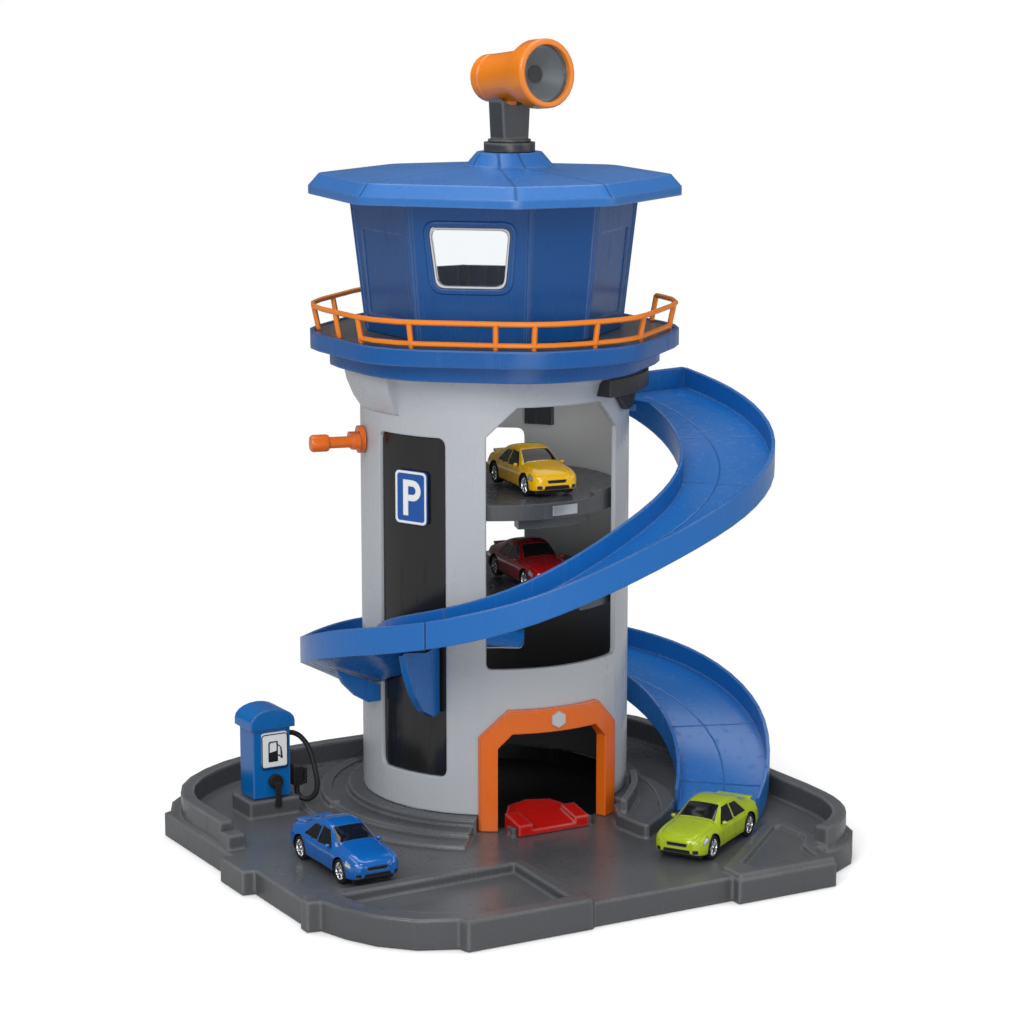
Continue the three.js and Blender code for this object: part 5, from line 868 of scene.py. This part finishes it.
# each region is bounded by planes, as a point and the direction that leads out of it
carRegions = [
    {"finish": "carGlass", "sink": 0.2, "towards": (0.55, 0, 0.83), "planes": [
        ((13.4, 0, 15), (1, 0, 0.3)), ((3.9, 0, 19.9), (-1, 0, 0.2)), ((8.6, 9.0, 17), (-0.2, 1, 0)),
        ((8.6, -9.0, 17), (-0.2, -1, 0))]},
    {"finish": "carGlass", "sink": 0.2, "towards": (-0.45, 0, 0.89), "planes": [
        ((-23.2, 0, 16.6), (-1, 0, 0.2)), ((-14.4, 0, 20), (1, 0, 0.2)), ((-18, 8.4, 18), (0.15, 1, 0)),
        ((-18, -8.4, 18), (0.15, -1, 0))]},
    *[{"finish": "carGlass", "sink": 0.2, "towards": (0, 0.9 * side, 0.43), "planes": [
        ((0, 0, 12.4), (0.04, 0, -1)), ((0, 0, 19.0), (0.05, 0, 1)), ((11.2, 0, 13.0), (0.62, 0, 0.78)),
        ((-3.2, 0, 14), (-1, 0, 0.1))]} for side in (-1, 1)],
    *[{"finish": "carGlass", "sink": 0.2, "towards": (0, 0.9 * side, 0.43), "planes": [
        ((0, 0, 12.6), (0, 0, -1)), ((0, 0, 18.9), (-0.05, 0, 1)), ((-4.4, 0, 14), (1, 0, -0.1)),
        ((-17.6, 0, 13.2), (-0.62, 0, 0.78))]} for side in (-1, 1)],
    *[{"finish": "lampClear", "sink": 0.15, "towards": (0.6, 0.5 * side, 0.6), "planes": [
        ((31, 0, 8.5), (-0.12, 0, -1)), ((31, 0, 10.7), (0.3, 0, 1)), ((27.6, 0, 0), (-1, 0, 0)),
        ((0, 6.4 * side, 0), (0.2, -side, 0))]} for side in (-1, 1)],
    {"finish": "carBlack", "sink": 0.35, "towards": (1, 0, 0.1), "planes": [
        ((0, 0, 7.4), (0, 0, -1)), ((0, 0, 9.0), (0, 0, 1)), ((0, 5.4, 8.2), (0, 1, -0.4)),
        ((0, -5.4, 8.2), (0, -1, -0.4)), ((33, 0, 0), (-1, 0, 0))]},
    {"finish": "carBlack", "sink": 0.45, "towards": (1, 0, -0.1), "planes": [
        ((0, 0, 4.3), (0, 0, -1)), ((0, 0, 6.3), (0, 0, 1)), ((0, 7.2, 5.3), (0, 1, 0.3)),
        ((0, -7.2, 5.3), (0, -1, 0.3)), ((31, 0, 0), (-1, 0, 0))]},
    *[{"finish": "carBlack", "sink": 0.35, "towards": (0.9, 0.4 * side, 0), "planes": [
        ((0, 0, 4.6), (0, 0, -1)), ((0, 0, 6.4), (0, 0, 1)), ((0, 8.6 * side, 0), (0, -side, 0)),
        ((0, 11.2 * side, 0), (0, side, 0)), ((30, 0, 0), (-1, 0, 0))]} for side in (-1, 1)],
    *[{"finish": "lampRed", "sink": 0.1, "towards": (-0.9, 0.4 * side, 0.1), "planes": [
        ((0, 0, 9.2), (0, 0, -1)), ((0, 0, 12.0), (0, 0, 1)), ((0, 6.4 * side, 0), (0, -side, 0)),
        ((-32, 0, 0), (1, 0, 0))]} for side in (-1, 1)],
    *[{"finish": "carBlack", "sink": 0, "towards": (0, side, 0.1), "planes": [
        ((at, 0, 8), (1, 0, lean)), ((at - 0.22, 0, 8), (-1, 0, -lean)), ((0, 0, 4.4), (0, 0, -1)),
        ((0, 0, 12.4), (0, 0, 1))]}
        for side in (-1, 1) for at, lean in ((11.6, 0.06), (-3.6, -0.06), (-15.0, 0.3))],
    {"finish": "carBlack", "sink": 0, "towards": (0.2, 0, 1), "planes": [
        ((14.9, 0, 0), (1, 0, 0)), ((14.6, 0, 0), (-1, 0, 0)), ((0, 11.4, 0), (0, 1, 0)),
        ((0, -11.4, 0), (0, -1, 0))]},
]
regionFacing = 0.4
regionRim = 0.2


def inside(spot, planes):
    return all((spot - Vector(point) * mm).dot(Vector(out).normalized()) < tolerance["inside"]
        for point, out in planes)


def cutRegion(bm, region, index, seal):
    # cuts a region's outline into the faces that look its way, paints it and sinks it a little
    aim = Vector(region["towards"]).normalized()
    for point, out in region["planes"]:
        cutFaces(bm, [f for f in bm.faces if f.normal.dot(aim) > regionFacing], point, out)
    found = [f for f in bm.faces if f.normal.dot(aim) > regionFacing
        and inside(f.calc_center_median(), region["planes"])]
    for face in found:
        face.material_index = index
    if found and region["sink"]:
        rim = bmesh.ops.inset_region(bm, faces=found, thickness=regionRim * mm, depth=-region["sink"] * mm,
            use_even_offset=True, use_boundary=True)
        for face in rim["faces"]:
            face.material_index = seal


tailLip = {"place": (-33.0, 0, 14.75), "size": (3.2, 19, 1.3), "soft": 0.42}


def makeCarBody(name, car):
    bm = makeCarShell()
    looks = [car["paint"], "carGlass", "lampClear", "carBlack", "lampRed"]
    for end in (-1, 1):
        for side in (-1, 1):
            cutArch(bm, end, side, 3)
    for region in carRegions:
        cutRegion(bm, region, looks.index(region["finish"]), 3)
    addBar(bm, tailLip["place"], tailLip["size"], tailLip["soft"])
    bmesh.ops.transform(bm, matrix=carPlace(car) @ Matrix.Scale(carRise, 4, (0, 0, 1)), verts=bm.verts)
    painted = [materials[look] for look in looks]
    made = finishMesh(bm, f"{name}_car_shell", painted, f"{name}_car", crease=28)
    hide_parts(f"{name}_car_body")


mirror = {"at": (9.6, 14.0, 15.4), "size": (2.2, 2.8, 2.1)}
handle = {"at": (-1.2, 13.9, 12.1), "size": (3.0, 0.7, 0.6)}


def addBlob(bm, at, size):
    made = bmesh.ops.create_uvsphere(bm, u_segments=14, v_segments=8, radius=0.5)["verts"]
    bmesh.ops.scale(bm, vec=Vector(size) * mm, verts=made)
    bmesh.ops.translate(bm, vec=Vector(at) * mm, verts=made)


def addBar(bm, at, size, soft=0.3):
    made = bmesh.ops.create_cube(bm, size=1)["verts"]
    bmesh.ops.scale(bm, vec=Vector(size) * mm, verts=made)
    bmesh.ops.translate(bm, vec=Vector(at) * mm, verts=made)
    edges = list({e for v in made for e in v.link_edges})
    bmesh.ops.bevel(bm, geom=edges, offset=min(size) * soft * mm, affect="EDGES", segments=2, profile=0.5,
        material=-1)


def makeCarTrim(name, car):
    bm = bmesh.new()
    for side in (-1, 1):
        for spot, size in ((mirror["at"], mirror["size"]), (handle["at"], handle["size"])):
            addBlob(bm, (spot[0], spot[1] * side, spot[2]), size)
    bmesh.ops.transform(bm, matrix=carPlace(car), verts=bm.verts)
    finishMesh(bm, f"{name}_car_mirrors", [materials[car["paint"]]], f"{name}_car", weighted=False)


def makeWheelMesh():
    # tyre with a rounded shoulder, a bright rim set into it and paired spokes; its outer side looks up
    bm = bmesh.new()
    radius, width = wheel["radius"] * mm, wheel["width"] * mm
    bmesh.ops.create_cone(bm, cap_ends=True, segments=48, radius1=radius, radius2=radius, depth=width)
    shoulders = [e for e in bm.edges if e.verts[0].co.z * e.verts[1].co.z > 0]
    bmesh.ops.bevel(bm, geom=shoulders, offset=wheel["shoulder"] * mm, affect="EDGES", segments=4,
        profile=0.5, material=-1)
    cap = max((f for f in bm.faces if f.normal.z > 0.99), key=lambda f: f.calc_area())
    for thickness, depth, index in wheel["steps"]:
        bmesh.ops.inset_region(bm, faces=[cap], thickness=thickness * mm, depth=depth * mm,
            use_even_offset=True)
        cap.material_index = index
    rimRadius = max(v.co.to_2d().length for v in cap.verts) / mm
    level = cap.calc_center_median().z / mm
    plain = set(bm.faces)
    for i in range(wheel["spokes"]):
        for lean in (-wheel["spokeLean"], wheel["spokeLean"]):
            before = set(bm.verts)
            addBar(bm, (rimRadius / 2, 0, level + wheel["spokeRise"]),
                (rimRadius + wheel["spokeOverrun"], wheel["spokeWidth"], wheel["spokeHeight"]))
            spoke = [v for v in bm.verts if v not in before]
            turn = Matrix.Rotation(2 * pi * i / wheel["spokes"] + lean, 3, "Z")
            bmesh.ops.rotate(bm, cent=(0, 0, 0), matrix=turn, verts=spoke)
    hubMiddle = Matrix.Translation((0, 0, (level + wheel["hubHeight"] / 2) * mm))
    bmesh.ops.create_cone(bm, cap_ends=True, segments=20, radius1=wheel["hub"] * mm,
        radius2=wheel["hubTop"] * mm, depth=wheel["hubHeight"] * mm, matrix=hubMiddle)
    for face in bm.faces:
        if face not in plain:
            face.material_index = 1
    return meshFrom(bm, "toy_wheel")


wheelMesh = makeWheelMesh()


def makeWheels(name, car, end, label):
    bm = bmesh.new()
    x, z = end * wheel["base"] * mm, wheel["radius"] * mm
    apart = (2 * wheel["track"] - wheel["width"]) * mm
    for side in (-1, 1):
        one = wheelMesh.copy()
        turn = Matrix.Rotation(-side * pi / 2, 4, "X")
        one.transform(Matrix.Translation((x, side * apart / 2, z)) @ turn)
        bm.from_mesh(one)
        bpy.data.meshes.remove(one)
    bmesh.ops.create_cone(bm, cap_ends=True, segments=16, radius1=wheel["axle"] * mm,
        radius2=wheel["axle"] * mm, depth=apart,
        matrix=Matrix.Translation((x, 0, z)) @ Matrix.Rotation(pi / 2, 4, "X"))
    bmesh.ops.transform(bm, matrix=carPlace(car), verts=bm.verts)
    looks = [materials["tyreRubber"], materials["hubChrome"], materials["carBlack"]]
    made = finishMesh(bm, f"{name}_car_{label}_pair", looks, f"{name}_car_{label}_axle")
    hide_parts(f"{name}_car_{label}_wheels")


for name, car in cars.items():
    makeCarBody(name, car)
    makeCarTrim(name, car)
    for end, label in ((1, "front"), (-1, "rear")):
        makeWheels(name, car, end, label)
    dressNode(f"{name}_car_chassis", "carBlack")
print("cars made")


# floor, backdrop and lights

studio = {"floorSize": 12, "ambient": 0.44, "glossy": 0.12}
lamps = {
    "key": {"place": (-1.6, -1.5, 1.7), "size": (1.4, 1.4), "power": 34},
    "fill": {"place": (1.7, -1.3, 0.9), "size": (1.6, 1.6), "power": 9},
    "top": {"place": (0.1, 0.4, 2.1), "size": (1.8, 1.8), "power": 25},
    "low": {"place": (-0.75, -1.5, 0.35), "size": (0.9, 0.5), "power": 5},
    "inside": {
        "place": (0.01, -0.02, 0.2375), "size": (0.06, 0.05), "power": 0.008, "target": (0.01, -0.02, 0),
    },
}
paper = {
    "tone": (0.92, 0.92, 0.92, 1), "bounce": (0.5, 0.5, 0.5, 1), "rough": 0.9, "glow": 0.12, "drop": 0.0004,
    "middle": (-0.022, -0.0445, 0), "half": (0.153, 0.1465, 1), "from": 0.02, "to": 0.2,
}
white = (1, 1, 1, 1)


def lookedAt(tree, path, x, y):
    # one where the camera sees a surface, straight or through clear plastic
    straight, through = path.outputs["Is Camera Ray"], path.outputs["Is Transmission Ray"]
    return calculate(tree, "MAXIMUM", x, y, straight, through)


def makeFloor():
    # white paper that keeps the shadow near the toy and fades to pure white away from it
    bm = bmesh.new()
    bmesh.ops.create_grid(bm, x_segments=1, y_segments=1, size=studio["floorSize"] / 2)
    mesh = meshFrom(bm, "studio_floor")
    material, tree, shader = newMaterial("studioPaper")
    setSockets(shader, {"Roughness": paper["rough"], "Specular IOR Level": 0, "Emission Color": white})
    looked = lookedAt(tree, addNode(tree, "ShaderNodeLightPath", -900, -500), -700, -500)
    colour = mixColours(tree, -400, -200, looked, paper["bounce"], paper["tone"])
    glow = calculate(tree, "MULTIPLY", -400, -500, looked, paper["glow"])
    plug(tree, colour, shader.inputs["Base Color"])
    plug(tree, glow, shader.inputs["Emission Strength"])
    place = addNode(tree, "ShaderNodeTexCoord", -1500, 300).outputs["Object"]
    away = calculateVector(tree, "SUBTRACT", -1300, 300, place, paper["middle"])
    apart = calculateVector(tree, "ABSOLUTE", -1100, 300, away)
    beyond = calculateVector(tree, "SUBTRACT", -900, 300, apart, paper["half"])
    outside = calculateVector(tree, "MAXIMUM", -700, 300, beyond)
    fade = addNode(tree, "ShaderNodeMapRange", -300, 300, interpolation_type="SMOOTHSTEP")
    setSockets(fade, {"From Min": paper["from"], "From Max": paper["to"]})
    plug(tree, calculateVector(tree, "LENGTH", -500, 300, outside), fade.inputs["Value"])
    blend = addNode(tree, "ShaderNodeMixShader", 400, 100)
    plug(tree, calculate(tree, "MULTIPLY", -100, 300, fade.outputs["Result"], looked), blend.inputs[0])
    plug(tree, shader.outputs[0], blend.inputs[1])
    plug(tree, addNode(tree, "ShaderNodeEmission", 100, 100).outputs[0], blend.inputs[2])
    plug(tree, blend.outputs[0], tree.nodes["Material Output"].inputs["Surface"])
    mesh.materials.append(material)
    floor = bpy.data.objects.new("studio_floor", mesh)
    floor.location.z = -paper["drop"]
    bpy.context.scene.collection.objects.link(floor)


def makeWorld():
    # white where it is seen, and a softer light on everything else
    world = bpy.data.worlds.new("studio")
    bpy.context.scene.world = world
    world.use_nodes = True
    tree = world.node_tree
    tree.nodes.clear()
    path = addNode(tree, "ShaderNodeLightPath", -600, 200)
    looked = lookedAt(tree, path, -400, 200)
    strength = calculate(tree, "MULTIPLY_ADD", -400, 0, path.outputs["Is Glossy Ray"],
        studio["glossy"] - studio["ambient"], studio["ambient"])
    ambient, backdrop = (addNode(tree, "ShaderNodeBackground", -200, y) for y in (100, -50))
    for node in (ambient, backdrop):
        plug(tree, white, node.inputs["Color"])
    plug(tree, strength, ambient.inputs["Strength"])
    blend = addNode(tree, "ShaderNodeMixShader", 0, 0)
    plug(tree, looked, blend.inputs[0])
    plug(tree, ambient.outputs[0], blend.inputs[1])
    plug(tree, backdrop.outputs[0], blend.inputs[2])
    plug(tree, blend.outputs[0], addNode(tree, "ShaderNodeOutputWorld", 200, 0).inputs["Surface"])


def makeLamp(name, place, size, power, target=(0, 0, 0.2)):
    data = bpy.data.lights.new(name, "AREA")
    data.shape = "RECTANGLE"
    data.size, data.size_y = size
    data.energy = power
    lamp = bpy.data.objects.new(name, data)
    lamp.location = place
    lamp.rotation_mode = "QUATERNION"
    lamp.rotation_quaternion = (Vector(target) - Vector(place)).to_track_quat("-Z", "Y")
    lamp.visible_camera = False
    bpy.context.scene.collection.objects.link(lamp)


makeFloor()
makeWorld()
for name, lamp in lamps.items():
    makeLamp(name, **lamp)
bpy.context.scene.view_settings.view_transform = "Standard"
print("studio lit")
